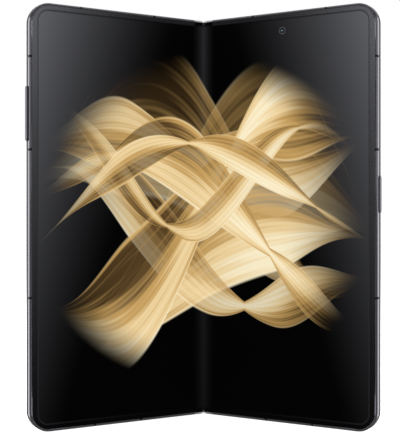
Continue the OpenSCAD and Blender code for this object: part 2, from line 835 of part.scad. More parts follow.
module lens_covers() place_right() color("#22232a") for (p = lenses()) translate([p[0], 0, p[1]])
    slab(body_t + island_h - lens_glass_t, body_t + island_h) circle(p[2] - fit_gap);

// Camera module: a square base on the plate and a round barrel with a cupped front
module camera(i, base) color("#2a2b2e") {
    p = lenses()[i];
    r = p[2] - lens_step - barrel_gap;
    tip = body_t + island_h - lens_glass_t - barrel_drop;
    translate([p[0], 0, p[1]]) difference() {
        union() {
            slab(bay_w, back_w - base_gap) square(base, center = true);
            slab(back_w - base_gap - EPS, tip) circle(r);
        }
        translate([0, tip + EPS, 0]) rotate([90, 0, 0])
            cylinder(r1 = r - cup_rim, r2 = r * cup_ratio, h = cup_d);
    }
}
module camera_main() place_right() camera(0, camera_base);
module camera_wide() place_right() camera(1, camera_base);
module camera_tele() place_right() camera(2, small_camera_base);

module flash_led() place_right() color("#efe6c8") translate([island_u + flash_du, 0, island_z]) {
    slab(bay_w, bay_w + flash_board[2]) square([flash_board[0], flash_board[1]], center = true);
    slab(bay_w + flash_board[2] - EPS, body_t + island_h - flash_gap) circle(flash_r - flash_gap);
}

// What fills the bays
module fill(u0, z0, u1, z1, r) intersection() {
    outline(wall_t + part_gap, rail_u);
    rounded(u0, z0, u1, z1, r);
}

module battery(u1, w1) color("#3a3a3c") slab(bay_w, w1)
    fill(rail_u + part_gap, middle_z0 + part_gap, u1, middle_z1 - part_gap, block_r);
module right_battery() place_right() battery(bay_out - part_gap - key_room, back_w - top_gap);
module left_battery() place_left() battery(bay_out - part_gap, back_w - panel_t - panel_gap);

module post_clear() for (p = post_places()) translate(p) circle(post_r + post_gap);

module board() color("#1f4a34") slab(bay_w, bay_w + board_t) difference() {
    children();
    post_clear();
}

module main_board() place_right() board() {
    z0 = upper_z0 + part_gap;
    union() {
        fill(rail_u + part_gap, z0, board_u1, upper_z1 - part_gap, block_r);
        fill(rail_u + part_gap, z0, bay_out - part_gap, upper_z0 + board_strip_h, block_r);
    }
}

module shield_cans() place_right() color("#b4b6ba") for (i = [0, 1])
    translate([0, 0, upper_z0 + board_strip_h + can_edge + i * (can_l + can_edge)])
        slab(bay_w + board_t, bay_w + board_t + can_t)
            rounded(rail_u + can_in, 0, board_u1 - can_edge, can_l, block_r);

module lower_board() place_right() board()
    fill(rail_u + lower_board_in, port_end + lower_board_gap, speaker_u0 - block_r,
        lower_z1 - part_gap, block_r);

module sub_board() place_left() board()
    fill(rail_u + part_gap, upper_z0 + part_gap, bay_out - sub_board_edge,
        upper_z1 - tray_l - reader_below - sub_board_gap, block_r);

module usb_port() place_right() color("#c2c4c8") {
    difference() {
        upright(port_inset, port_end + port_back_t) translate([port_u, port_c]) rotate(90)
            slot(port_h + 2 * port_wall, port_w + 2 * port_wall);
        upright(port_inset - OVER, port_end) translate([port_u, port_c]) rotate(90)
            slot(port_h, port_w);
    }
    upright(port_inset + tongue_in, port_end + EPS) translate([port_u, port_c])
        square([port_w - 2 * tongue_in, tongue_t], center = true);
    block([port_u - port_foot[0], bay_w, port_end + port_back_t - EPS],
        [port_u + port_foot[0], bay_w + board_t, port_end + port_foot[1]]);
}

module bottom_speaker() place_right() color("#2b2b2d") difference() {
    slab(bay_w, back_w - top_gap)
        fill(speaker_u0, lower_z0 + part_gap, bay_out - part_gap, lower_z1 - bottom_speaker_top,
            speaker_r);
    grille(0, lower_z0 + 2 * OVER);
}

module top_speaker() place_left() color("#2b2b2d") difference() {
    slab(bay_w, back_w - panel_t - panel_gap)
        fill(speaker_u0, upper_z1 - top_speaker_l, bay_out - part_gap, upper_z1 - part_gap, speaker_r);
    grille(upper_z1 - 2 * OVER, 2 * OVER);
}

module haptic_motor() place_right() color("#a9abb0") slab(bay_w, back_w - motor_drop)
    fill(rail_u + motor_in, lower_z0 + motor_gap, rail_u + motor_in + motor_w, lower_z1 - motor_top,
        block_r);

// Power key, and the small switch behind it
module key_cap(z, l, h, gap) across(bay_out - gap - EPS, half_w + h) translate([key_c, z])
    slot(key_w, l);

module power_key() place_right() color("#6a6b70") {
    key_cap(power_z, power_l, power_h, fit_gap);
    across(bay_out - key_flange_t, bay_out - fit_gap) translate([key_c, power_z])
        slot(key_w + key_flange, power_l + 2 * key_flange);
}

module power_switch() place_right() color("#c2c4c8") {
    tip = bay_out - key_flange_t - key_travel;
    back = tip - button_h;
    block([back - switch_t, bay_w, power_z - switch_l / 2],
        [back, back_w - switch_drop, power_z + switch_l / 2]);
    across(back - EPS, tip - fit_gap) translate([key_c, power_z]) circle(button_r);
}

// Cylinder of radius r and length l on the rocker's pivot
module on_pivot(r, l) translate([rocker_pin_u, key_c, volume_z]) rotate([90, 0, 0])
    cylinder(r = r, h = l, center = true);

module volume_rocker() place_left() color("#6a6b70") difference() {
    union() {
        key_cap(volume_z, volume_l, volume_h, rocker_swing);
        across(bay_out - rocker_swing - key_flange_t, bay_out - rocker_swing)
            translate([key_c, volume_z]) slot(key_w, volume_l + 2 * key_flange);
        on_pivot(knuckle_r, knuckle_l);
    }
    on_pivot(rocker_pin_r + bore_gap, 2 * rocker_pin_l);
}

module volume_pin() place_left() color("#c9cacd") on_pivot(rocker_pin_r, rocker_pin_l);

// Switch base with two ears for the rocker's pin and a dome under each end
module volume_switch() place_left() color("#c2c4c8") difference() {
    face = rocker_pin_u - ear_base;
    union() {
        block([face - switch_t, bay_w, volume_z - rocker_switch_half],
            [face, key_c + ear_c + ear_t / 2, volume_z + rocker_switch_half]);
        for (s = [-1, 1]) {
            block([face - EPS, key_c + s * ear_c - ear_t / 2, volume_z - ear_half],
                [rocker_pin_u + ear_tip, key_c + s * ear_c + ear_t / 2, volume_z + ear_half]);
            across(face - EPS, rocker_pin_u + dome_h)
                translate([key_c, volume_z + s * dome_step]) circle(dome_r);
        }
    }
    on_pivot(rocker_pin_r, 2 * rocker_pin_l);
}

module right_antenna_bands() place_right() color("#1d1e21") bands();
module left_antenna_bands() place_left() color("#1d1e21") bands();

module screws() color("#d0d1d4") {
    for (p = post_places()) translate([p[0], 0, p[1]]) {
        slab(bay_w + screw_foot, bay_w + post_h) circle(post_hole_r);
        slab(bay_w + post_h, bay_w + post_h + head_t) circle(head_r);
    }
    arm_places() translate([arm_screw_u, 0, 0])
        slab(wing_w + fit_gap, wing_w + fit_gap + arm_screw_l) circle(arm_screw_r);
}
module right_screws() place_right() screws();
module left_screws() place_left() screws();

module cover_glass() place_left() color("#26272b") slab(back_w, body_t)
    outline(back_in + fit_gap, back_u + fit_gap);

module panel_outline(d) intersection() {
    outline(wall_t + part_gap - d, rail_u);
    translate([rail_u + panel_in - d, 0]) square([half_w, body_h]);
}

module cover_display() place_left() color("#16171a") slab(back_w - panel_t, back_w) difference() {
    panel_outline(0);
    translate([cover_camera_u, body_h - cover_camera_top])
        circle(cover_camera_r + cover_camera_hole_gap);
}

module cover_camera() place_left() color("#2a2b2e")
    translate([cover_camera_u, 0, body_h - cover_camera_top]) difference() {
        union() {
            slab(bay_w, bay_w + cover_camera_base_t) square(cover_camera_base, center = true);
            slab(bay_w + cover_camera_base_t - EPS, back_w - fit_gap) circle(cover_camera_r);
        }
        slab(back_w - cover_camera_cup, back_w) circle(cover_camera_r - window_rim);
    }

// Card tray, and the open box that reads the card
module card_reader() place_left() color("#b4b6ba") {
    half_l = tray_w / 2 + reader_side;
    z0 = upper_z1 - tray_l - reader_below;
    difference() {
        block([tray_u - half_l, bay_w, z0], [tray_u + half_l, back_w - panel_t - panel_gap, z0 + tray_l]);
        block([tray_u - tray_w / 2 - run_gap, mid_w - tray_t / 2 - run_gap, z0 + reader_wall],
            [tray_u + tray_w / 2 + run_gap, mid_w + tray_t / 2 + run_gap, body_h]);
    }
}

module card_tray() place_left() color("#6a6b70") difference() {
    neck_z = upper_z1 + tray_head_gap;
    half_l = tray_w / 2 - tray_in;
    union() {
        upright(neck_z, body_h) translate([tray_u, mid_w]) rotate(90) slot(tray_t, tray_w);
        block([tray_u - half_l, mid_w - tray_half_t, body_h - tray_l],
            [tray_u + half_l, mid_w + tray_half_t, neck_z + EPS]);
    }
    block([tray_u - tray_w / 2 + tray_rim, mid_w - tray_floor, body_h - tray_l + tray_rim],
        [tray_u + tray_w / 2 - tray_rim, mid_w + OVER, upper_z1 - tray_rim]);
    translate([tray_u + tray_w / 2 - eject_in, mid_w, upper_z1 - OVER])
        cylinder(r = eject_r, h = wall_t + 2 * OVER);
}

spine_cover();
hinge_bracket_top();
hinge_bracket_bottom();
fold_rail();
hinge_shafts();
idler_pins();
inner_display_fold();
fold_seals();
idler_gears_right();
idler_gears_left();
right_frame();
right_bezel();
right_hinge_caps();
right_arms();
right_wing_pins();
inner_display_right();
inner_camera();
rear_cover();
camera_island();
lens_covers();
camera_main();
camera_wide();
camera_tele();
flash_led();
right_battery();
main_board();
shield_cans();
usb_port();
lower_board();
bottom_speaker();
haptic_motor();
power_switch();
right_antenna_bands();
right_screws();
left_frame();
left_bezel();
left_hinge_caps();
left_arms();
left_wing_pins();
inner_display_left();
cover_glass();
cover_display();
cover_camera();
left_battery();
sub_board();
top_speaker();
card_reader();
volume_switch();
volume_pin();
left_antenna_bands();
left_screws();
right_wing_plate();
left_wing_plate();
power_key();
volume_rocker();
card_tray();
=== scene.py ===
"""Looks of a half-open folding phone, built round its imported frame"""
import json
from math import cos, pi, radians, sin

import bmesh
import bpy
from bpy.props import FloatProperty, FloatVectorProperty, IntProperty, PointerProperty
from mathutils import Matrix, Vector


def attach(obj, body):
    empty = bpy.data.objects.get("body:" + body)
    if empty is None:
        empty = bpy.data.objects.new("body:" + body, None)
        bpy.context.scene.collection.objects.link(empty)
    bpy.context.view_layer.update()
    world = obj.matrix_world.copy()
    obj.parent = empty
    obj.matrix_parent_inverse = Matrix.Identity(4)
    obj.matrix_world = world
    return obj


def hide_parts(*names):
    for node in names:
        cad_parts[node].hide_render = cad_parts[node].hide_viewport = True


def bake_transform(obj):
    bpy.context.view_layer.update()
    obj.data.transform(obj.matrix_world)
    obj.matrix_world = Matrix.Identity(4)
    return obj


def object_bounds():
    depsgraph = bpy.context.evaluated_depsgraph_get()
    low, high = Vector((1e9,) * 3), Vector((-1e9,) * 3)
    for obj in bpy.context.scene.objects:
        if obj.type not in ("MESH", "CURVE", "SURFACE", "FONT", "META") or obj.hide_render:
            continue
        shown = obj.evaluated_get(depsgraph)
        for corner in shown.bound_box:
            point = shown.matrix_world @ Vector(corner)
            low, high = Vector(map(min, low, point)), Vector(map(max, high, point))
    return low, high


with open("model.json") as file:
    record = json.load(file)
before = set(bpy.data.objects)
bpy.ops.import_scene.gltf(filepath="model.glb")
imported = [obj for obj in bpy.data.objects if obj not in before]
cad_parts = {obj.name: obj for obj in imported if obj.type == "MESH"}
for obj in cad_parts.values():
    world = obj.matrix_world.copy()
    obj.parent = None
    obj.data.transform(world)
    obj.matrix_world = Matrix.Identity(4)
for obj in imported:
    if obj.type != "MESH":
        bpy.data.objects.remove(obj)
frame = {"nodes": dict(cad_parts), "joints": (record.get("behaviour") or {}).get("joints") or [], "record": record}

bl_info = {
    "name": "Folding phone",
    "version": (1, 0, 0),
    "blender": (4, 5, 0),
    "location": "View3D > Sidebar > Phone",
    "description": "Dresses a folding phone's frame with its finishes, screen and lenses",
    "category": "Add Mesh",
}

MM = 0.001
CAD_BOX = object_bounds()
JOINT = {j["name"]: j for j in frame["joints"]}
AXIS = Vector(JOINT["right_fold"]["pos_m"])
TILT = radians(JOINT["right_fold"]["range_deg"][0])
BODY_H = CAD_BOX[1].z - CAD_BOX[0].z
BODY_OF = {n: b for b, group in frame["record"]["behaviour"]["bodies"].items() for n in group}
SLOT_OF = {row["node"]: row["material_slot"] for row in frame["record"]["subparts"]}


# ---- sizes and colours

class PhoneSizes(bpy.types.PropertyGroup):
    """Sizes of the pieces that are modelled here"""
    axis_depth: FloatProperty(
        name="Axis depth", description="Depth of the hinge axes behind the front face",
        default=1.3 * MM, unit="LENGTH")
    screen_depth: FloatProperty(
        name="Screen depth", description="Depth of the screen's surface behind the front face",
        default=0.35 * MM, unit="LENGTH")
    screen_thickness: FloatProperty(
        name="Screen thickness", description="Thickness of the inner screen", default=0.45 * MM,
        unit="LENGTH")
    strip_half: FloatProperty(
        name="Fold strip", description="Distance from the fold line to the strip's edge",
        default=4.6 * MM, unit="LENGTH")
    strip_margin: FloatProperty(
        name="Strip margin", description="Distance from the body's ends to the strip's ends",
        default=1.4 * MM, unit="LENGTH")
    # Painted shade: a black band past the strip's ends stands in for the gap's shade at the caps
    gap_shade_margin: FloatProperty(
        name="Gasket margin", description="Distance from the body's ends to the black gasket",
        default=0.95 * MM, unit="LENGTH")
    gap_shade_end: FloatProperty(
        name="Gasket end", description="Distance from the fold line to the end of the gasket",
        default=4.45 * MM, unit="LENGTH")
    notch_radius: FloatProperty(
        name="Notch radius", description="Rounding of the strip's ends about the seals",
        default=0.65 * MM, unit="LENGTH")
    strip_steps: IntProperty(
        name="Strip steps", description="Faces across each half of the strip's bend", default=16,
        min=4)
    half_width: FloatProperty(
        name="Half width", description="Distance from the fold line to the outer edge",
        default=72.7 * MM, unit="LENGTH")
    thickness: FloatProperty(
        name="Thickness", description="Thickness of a half", default=4.7 * MM, unit="LENGTH")
    rim_side: FloatProperty(
        name="Side rim", description="From the outer edge to the screen's visible edge",
        default=3.0 * MM, unit="LENGTH")
    rim_end: FloatProperty(
        name="End rim", description="From the top or bottom edge to the screen's visible edge",
        default=2.5 * MM, unit="LENGTH")
    window_radius: FloatProperty(
        name="Window radius", description="Corner radius of the screen's visible edge",
        default=4.3 * MM, unit="LENGTH")
    # Painted shade: the dark line round the screen stands in for the shade at the bezel's inner edge
    shade_line_width: FloatProperty(
        name="Screen line", description="Width of the dull line round the screen",
        default=0.5 * MM, unit="LENGTH")
    # Painted sheen: the soft sheen along the fold, and its fading, stand in for a reflection
    painted_fold_sheen: FloatProperty(
        name="Fold sheen", description="Reach of the soft sheen along the fold", default=5.5 * MM,
        unit="LENGTH")
    bend_start: FloatProperty(
        name="Bend start", description="Depth where the frame's flat side begins to curve back",
        default=1.7 * MM, unit="LENGTH")
    bend_end: FloatProperty(
        name="Bend end", description="Depth where the frame's side meets its rounded back edge",
        default=3.1 * MM, unit="LENGTH")
    bend: FloatProperty(
        name="Bend", description="Curvature of the frame's side, per metre", default=175.0)
    end_fade: FloatProperty(
        name="End fade", description="Reach of the fold sheen's fading at the strip's ends",
        default=1.6 * MM, unit="LENGTH")
    edge_bevel: FloatProperty(
        name="Edge bevel", description="Rounding of the metal pieces' sharp edges",
        default=0.08 * MM, unit="LENGTH")


class CameraPlaces(bpy.types.PropertyGroup):
    """Places of the cameras, the island and the port on their halves"""
    inner_u: FloatProperty(
        name="Inner camera", description="From the fold line to the inner camera",
        default=34.8 * MM, unit="LENGTH")
    inner_top: FloatProperty(
        name="Inner camera drop", description="From the top edge to the inner camera",
        default=7.15 * MM, unit="LENGTH")
    cover_u: FloatProperty(
        name="Cover camera", description="From the fold line to the cover camera",
        default=41.2 * MM, unit="LENGTH")
    cover_top: FloatProperty(
        name="Cover camera drop", description="From the top edge to the cover camera",
        default=8 * MM, unit="LENGTH")
    island_u: FloatProperty(
        name="Island", description="From the fold line to the island's middle",
        default=54 * MM, unit="LENGTH")
    island_top: FloatProperty(
        name="Island drop", description="From the top edge to the island's middle",
        default=27 * MM, unit="LENGTH")
    island_height: FloatProperty(
        name="Island height", description="Height of the island above the back",
        default=2.2 * MM, unit="LENGTH")
    port_u: FloatProperty(
        name="Port", description="From the fold line to the port's middle",
        default=36.425 * MM, unit="LENGTH")
    port_w: FloatProperty(
        name="Port depth", description="Depth of the port's middle behind the front",
        default=2.45 * MM, unit="LENGTH")


class PhoneColours(bpy.types.PropertyGroup):
    """Colours of the finishes"""
    frame: FloatVectorProperty(
        name="Frame", description="Polished dark frame", subtype="COLOR", size=3,
        default=(0.050, 0.050, 0.056))
    # Partly painted highlight: the caps' metal is made lighter than the frame's to stand in for a highlight on
    # their curved ends
    lit_cap: FloatVectorProperty(
        name="Hinge caps", description="Light metal beside the fold", subtype="COLOR", size=3,
        default=(0.15, 0.15, 0.16))
    spine: FloatVectorProperty(
        name="Spine", description="Cover of the hinge", subtype="COLOR", size=3,
        default=(0.070, 0.070, 0.080))
    bezel: FloatVectorProperty(
        name="Bezel", description="Raised rim of the screen", subtype="COLOR", size=3,
        default=(0.010, 0.010, 0.011))
    back: FloatVectorProperty(
        name="Back", description="Frosted back glass", subtype="COLOR", size=3,
        default=(0.030, 0.031, 0.037))
    gold_dark: FloatVectorProperty(
        name="Dark gold", description="Folds of the ribbons", subtype="COLOR", size=3,
        default=(0.10, 0.055, 0.018))
    gold: FloatVectorProperty(
        name="Gold", description="Middle tone of the ribbons", subtype="COLOR", size=3,
        default=(0.56, 0.34, 0.11))
    gold_light: FloatVectorProperty(
        name="Light gold", description="Lights on the ribbons", subtype="COLOR", size=3,
        default=(0.86, 0.65, 0.34))
    gold_pale: FloatVectorProperty(
        name="Pale gold", description="Brightest lights on the ribbons", subtype="COLOR", size=3,
        default=(0.97, 0.86, 0.60))
    # Painted sheen: tint of the grey sheen painted into the screen, its shade line and the bezel
    painted_sheen_tint: FloatVectorProperty(
        name="Sheen tint", description="Tint of the grey sheen in the screen's outer corners",
        subtype="COLOR", size=3, default=(0.97, 0.985, 1.08))


class StageSettings(bpy.types.PropertyGroup):
    """Camera and light"""
    lens: FloatProperty(
        name="Lens", description="Focal length on a 36 mm sensor", default=78.0, unit="CAMERA")
    distance: FloatProperty(
        name="Distance", description="From the camera to the fold line", default=0.3759,
        unit="LENGTH")
    fold_front: FloatProperty(
        name="Fold front", description="Depth where the two fronts would meet, from the axes",
        default=-0.702 * MM, unit="LENGTH")
    eye_height: FloatProperty(
        name="Eye height", description="Camera height above the floor", default=0.07827,
        unit="LENGTH")
    shift: FloatProperty(
        name="Shift", description="Sideways shift of the picture", default=-0.00816)
    world: FloatProperty(
        name="Fill light", description="Strength of the light from all round", default=0.42)
    softbox: FloatProperty(
        name="Side light", description="Power of each softbox beside, in watts", default=10.4)
    top_power: FloatProperty(
        name="Top light", description="Power of the light above, in watts", default=7.0)
    front_power: FloatProperty(
        name="Front light", description="Power of the light in front, in watts", default=2.0)


def sizes():
    return bpy.context.scene.phone_sizes


def colours():
    return bpy.context.scene.phone_colours


def settings():
    return bpy.context.scene.phone_stage


# ---- places

def place(side):
    """Turns a place on a half (u outward, w back, z up) into the frame; side 1 right, -1 left"""
    flat = Matrix.Translation((-AXIS.x, -sizes().axis_depth, 0))
    turn = Matrix.Translation(AXIS) @ Matrix.Rotation(TILT, 4, "Z") @ flat
    return Matrix.Diagonal((side, 1, 1, 1)) @ turn


def half_point(side, u, w, z):
    return place(side) @ Vector((u, w, z))


# ---- node helpers

class Graph:
    """A node tree with short calls for adding and joining nodes"""

    def __init__(self, tree):
        self.tree = tree

    def add(self, kind, inputs=None, **properties):
        node = self.tree.nodes.new(kind)
        for name, value in properties.items():
            setattr(node, name, value)
        self.fill(node.inputs, inputs or {})
        return node

    def feed(self, value, socket):
        if isinstance(value, bpy.types.NodeSocket):
            self.tree.links.new(value, socket)
        else:
            socket.default_value = value

    def fill(self, sockets, values):
        """Feeds several sockets, by name or number"""
        for key, value in values.items():
            self.feed(value, sockets[key])

    def math(self, operation, a, b=0.0, c=0.0, clamp=False):
        node = self.add("ShaderNodeMath", {0: a, 1: b, 2: c}, operation=operation, use_clamp=clamp)
        return node.outputs[0]

    def plus(self, a, b):
        return self.math("ADD", a, b)

    def minus(self, a, b):
        return self.math("SUBTRACT", a, b)

    def times(self, a, b):
        return self.math("MULTIPLY", a, b)

    def over(self, a, b):
        return self.math("DIVIDE", a, b)

    def line(self, value, slope, base):
        """value x slope + base"""
        return self.math("MULTIPLY_ADD", value, slope, base)

    def most(self, a, b):
        return self.math("MAXIMUM", a, b)

    def least(self, a, b):
        return self.math("MINIMUM", a, b)

    def size(self, a):
        return self.math("ABSOLUTE", a)

    def wave(self, a):
        return self.math("SINE", a)

    def scaled(self, vector, level):
        node = self.add("ShaderNodeVectorMath", {0: vector, "Scale": level}, operation="SCALE")
        return node.outputs[0]

    def split(self, vector):
        return self.add("ShaderNodeSeparateXYZ", {0: vector}).outputs

    def join(self, values):
        return self.add("ShaderNodeCombineXYZ", values).outputs[0]

    def smooth(self, value, low, high, to_low=0.0, to_high=1.0):
        node = self.add("ShaderNodeMapRange", {
            "Value": value, "From Min": low, "From Max": high, "To Min": to_low,
            "To Max": to_high}, interpolation_type="SMOOTHSTEP")
        return node.outputs["Result"]

    def mix(self, factor, a, b):
        node = self.add("ShaderNodeMix", {"Factor": factor, 6: a, 7: b}, data_type="RGBA")
        return node.outputs[2]

    def ramp(self, value, stops):
        node = self.add("ShaderNodeValToRGB", {"Fac": value})
        ramp = node.color_ramp
        ramp.interpolation = "EASE"
        while len(ramp.elements) < len(stops):
            ramp.elements.new(0.5)
        for element, (position, colour) in zip(ramp.elements, stops):
            element.position = position
            element.color = (*colour, 1.0)
        return node.outputs["Color"]


def new_group(name, inputs, outputs):
    """An empty node group; inputs are (name, kind, default) rows, and outputs (name, kind) rows"""
    tree = bpy.data.node_groups.new(name, "ShaderNodeTree")
    for label, kind, default in inputs:
        socket = tree.interface.new_socket(label, in_out="INPUT", socket_type="NodeSocket" + kind)
        socket.default_value = default
    for label, kind in outputs:
        tree.interface.new_socket(label, in_out="OUTPUT", socket_type="NodeSocket" + kind)
    graph = Graph(tree)
    return graph, graph.add("NodeGroupInput").outputs, graph.add("NodeGroupOutput").inputs


def new_material(name):
    material = bpy.data.materials.new(name)
    material.use_nodes = True
    graph = Graph(material.node_tree)
    return material, graph, material.node_tree.nodes["Principled BSDF"].inputs


def group_node(graph, name, inputs):
    return graph.add("ShaderNodeGroup", inputs, node_tree=bpy.data.node_groups[name]).outputs


# ---- shared effects

CLOUD_SCALE = 90.0


def fine_finish_group():
    """Slow cloudiness, a fine grain and their bump, for metal, plastic and frosted glass"""
    graph, source, sink = new_group("fine_finish", [
        ("Colour", "Color", (0.5, 0.5, 0.5, 1.0)), ("Roughness", "Float", 0.3),
        ("Cloud", "Float", 0.1), ("Grain", "Float", 0.1), ("Grain Scale", "Float", 9000.0),
        ("Stretch", "Float", 1.0)],
        [("Colour", "Color"), ("Roughness", "Float"), ("Height", "Float")])
    spot = graph.add("ShaderNodeTexCoord").outputs["Object"]
    cloud = graph.add("ShaderNodeTexNoise", {
        "Vector": spot, "Scale": CLOUD_SCALE, "Detail": 3.0}).outputs["Fac"]
    drawn = graph.add("ShaderNodeVectorMath", {
        0: spot, 1: graph.join({"X": 1.0, "Y": 1.0, "Z": source["Stretch"]})},
        operation="MULTIPLY").outputs[0]
    grain = graph.add("ShaderNodeTexNoise", {
        "Vector": drawn, "Scale": source["Grain Scale"], "Detail": 2.0}).outputs["Fac"]
    swing = graph.times(graph.minus(cloud, 0.5), source["Cloud"])
    speck = graph.times(graph.minus(grain, 0.5), source["Grain"])
    level = graph.plus(graph.plus(swing, speck), 1.0)
    graph.fill(sink, {
        "Colour": graph.scaled(source["Colour"], level),
        "Roughness": graph.times(source["Roughness"], graph.plus(level, swing)),
        "Height": speck})


# Levels of the painted sheen on a screen, standing in for reflections. Corners: gains across
# and up, and base. Fold: gain up, base, and what is left at the strip's ends. Painted shade line
# round the screen: gain across and share of the corners
CORNER_ACROSS, CORNER_UP, CORNER_BASE = 0.486, 0.148, -0.239
FOLD_UP, FOLD_BASE, FOLD_LEFT = 0.037, 0.108, 0.2
SHADE_LINE_ACROSS, SHADE_LINE_CORNER = 0.102, 0.42
# The bezel's painted sheen: power and gain of the corners, and its lower and upper painted level
BEZEL_SHEEN_POWER, BEZEL_SHEEN_GAIN, BEZEL_SHEEN_LOW, BEZEL_SHEEN_HIGH = 2.2, 0.68, 0.0006, 0.0095
# Light reflected by the screen's surface, which the lit design leaves out
SURFACE_LIGHT = 0.0009


def painted_sheen_group():
    """Painted grey sheen of the front, standing in for reflections: brightest in the upper outer
    corners and soft along the fold, with the duller painted shade line round the screen and the
    bezel's duller painted sheen"""
    s = sizes()
    graph, source, sink = new_group(
        "painted_corner_sheen", [("Across", "Float", 0.0), ("Up", "Float", 0.0)],
        [("Colour", "Color"), ("Line", "Color"), ("Bezel", "Color")])
    out, up = graph.size(source["Across"]), source["Up"]
    corner = graph.line(out, CORNER_ACROSS, graph.line(up, CORNER_UP, CORNER_BASE))
    corner = graph.most(corner, 0.0)
    fold = graph.times(graph.line(out, -s.half_width / s.painted_fold_sheen, 1.0),
                       graph.line(up, FOLD_UP, FOLD_BASE))
    # The painted fold sheen fades at the strip's ends, and the black band beyond them, painted shade
    # for the gap at the caps, stays black
    strip_end = (BODY_H / 2 - s.strip_margin) / s.half_width
    fade_start = strip_end - s.end_fade / s.half_width
    fold = graph.times(fold, graph.smooth(graph.size(up), fade_start, strip_end, 1.0, FOLD_LEFT))
    fold = graph.times(fold, graph.math("LESS_THAN", graph.size(up), strip_end))
    # Painted shade line round the screen, a dimmer share of the corners' painted sheen
    line = graph.line(out, SHADE_LINE_ACROSS, graph.times(corner, SHADE_LINE_CORNER))
    # The bezel's painted sheen: the corners' sheen and a level that rises towards the top
    rim = graph.plus(graph.times(graph.math("POWER", corner, BEZEL_SHEEN_POWER), BEZEL_SHEEN_GAIN),
                     graph.smooth(up, 0.2, 1.1, BEZEL_SHEEN_LOW, BEZEL_SHEEN_HIGH))

    def light(level):
        """The light that shows as this level on a screen, by the usual display curve"""
        eased = graph.math("POWER", graph.line(level, 1 / 1.055, 0.055 / 1.055), 2.4)
        return graph.most(graph.minus(eased, SURFACE_LIGHT), 0.0)

    for name, level in (("Colour", light(graph.most(corner, graph.most(fold, 0.0)))),
                        ("Line", light(line)), ("Bezel", rim)):
        graph.feed(graph.scaled(colours().painted_sheen_tint, level), sink[name])


def rim_group():
    """Distance outward from the screen's visible edge, a rounded rectangle cut by the fold line"""
    s = sizes()
    graph, source, sink = new_group(
        "rim_distance", [("Place", "Vector", (0, 0, 0))], [("Distance", "Float")])
    spot = graph.split(source["Place"])
    past_u = graph.minus(graph.size(spot["X"]), s.half_width - s.rim_side - s.window_radius)
    past_z = graph.minus(graph.size(graph.minus(spot["Z"], BODY_H / 2)),
                         BODY_H / 2 - s.rim_end - s.window_radius)
    past = graph.join({"X": graph.most(past_u, 0.0), "Y": graph.most(past_z, 0.0)})
    corner = graph.add("ShaderNodeVectorMath", {0: past}, operation="LENGTH").outputs["Value"]
    inside = graph.least(graph.most(past_u, past_z), 0.0)
    graph.feed(graph.minus(graph.plus(corner, inside), s.window_radius), sink["Distance"])


RIBBON_INPUTS = ("Height", "Slope", "Swing", "Waves", "Phase", "Width", "Twists", "Twist Phase",
                 "Strength", "Reach")
# One row of these for each ribbon, in half widths and radians
RIBBONS = [
    (-0.10, 0.12, 0.40, 2.9, 0.5, 0.46, 1.3, 0.9, 0.30, 1.02),
    (0.14, -0.20, 0.34, 3.1, 2.5, 0.40, 1.7, 2.1, 0.38, 0.99),
    (0.36, 0.22, 0.22, 2.3, 3.3, 0.24, 2.3, 0.3, 0.85, 0.96),
    (-0.36, 0.34, 0.22, 2.6, 1.0, 0.27, 2.0, 1.2, 0.95, 0.97),
    (-0.20, -0.34, 0.20, 3.7, 4.1, 0.20, 2.9, 2.4, 0.75, 0.94),
    (0.05, 0.46, 0.30, 3.3, 0.2, 0.32, 2.7, 2.7, 1.0, 0.99),
    (-0.03, -0.26, 0.32, 2.7, 2.2, 0.20, 3.3, 1.8, 1.0, 0.94),
    (0.22, -0.08, 0.30, 4.0, 5.3, 0.11, 3.9, 0.9, 0.9, 0.9),
    (0.00, 0.14, 0.42, 2.0, 1.9, 0.09, 4.1, 0.4, 1.0, 1.0),
]
# Threads along a ribbon: number across, drift along it and strength
THREADS, THREAD_DRIFT, THREAD_LEVEL = 24.0, 4.0, 0.075
HAIRS, HAIR_DRIFT, HAIR_LEVEL = 67.0, -7.0, 0.045


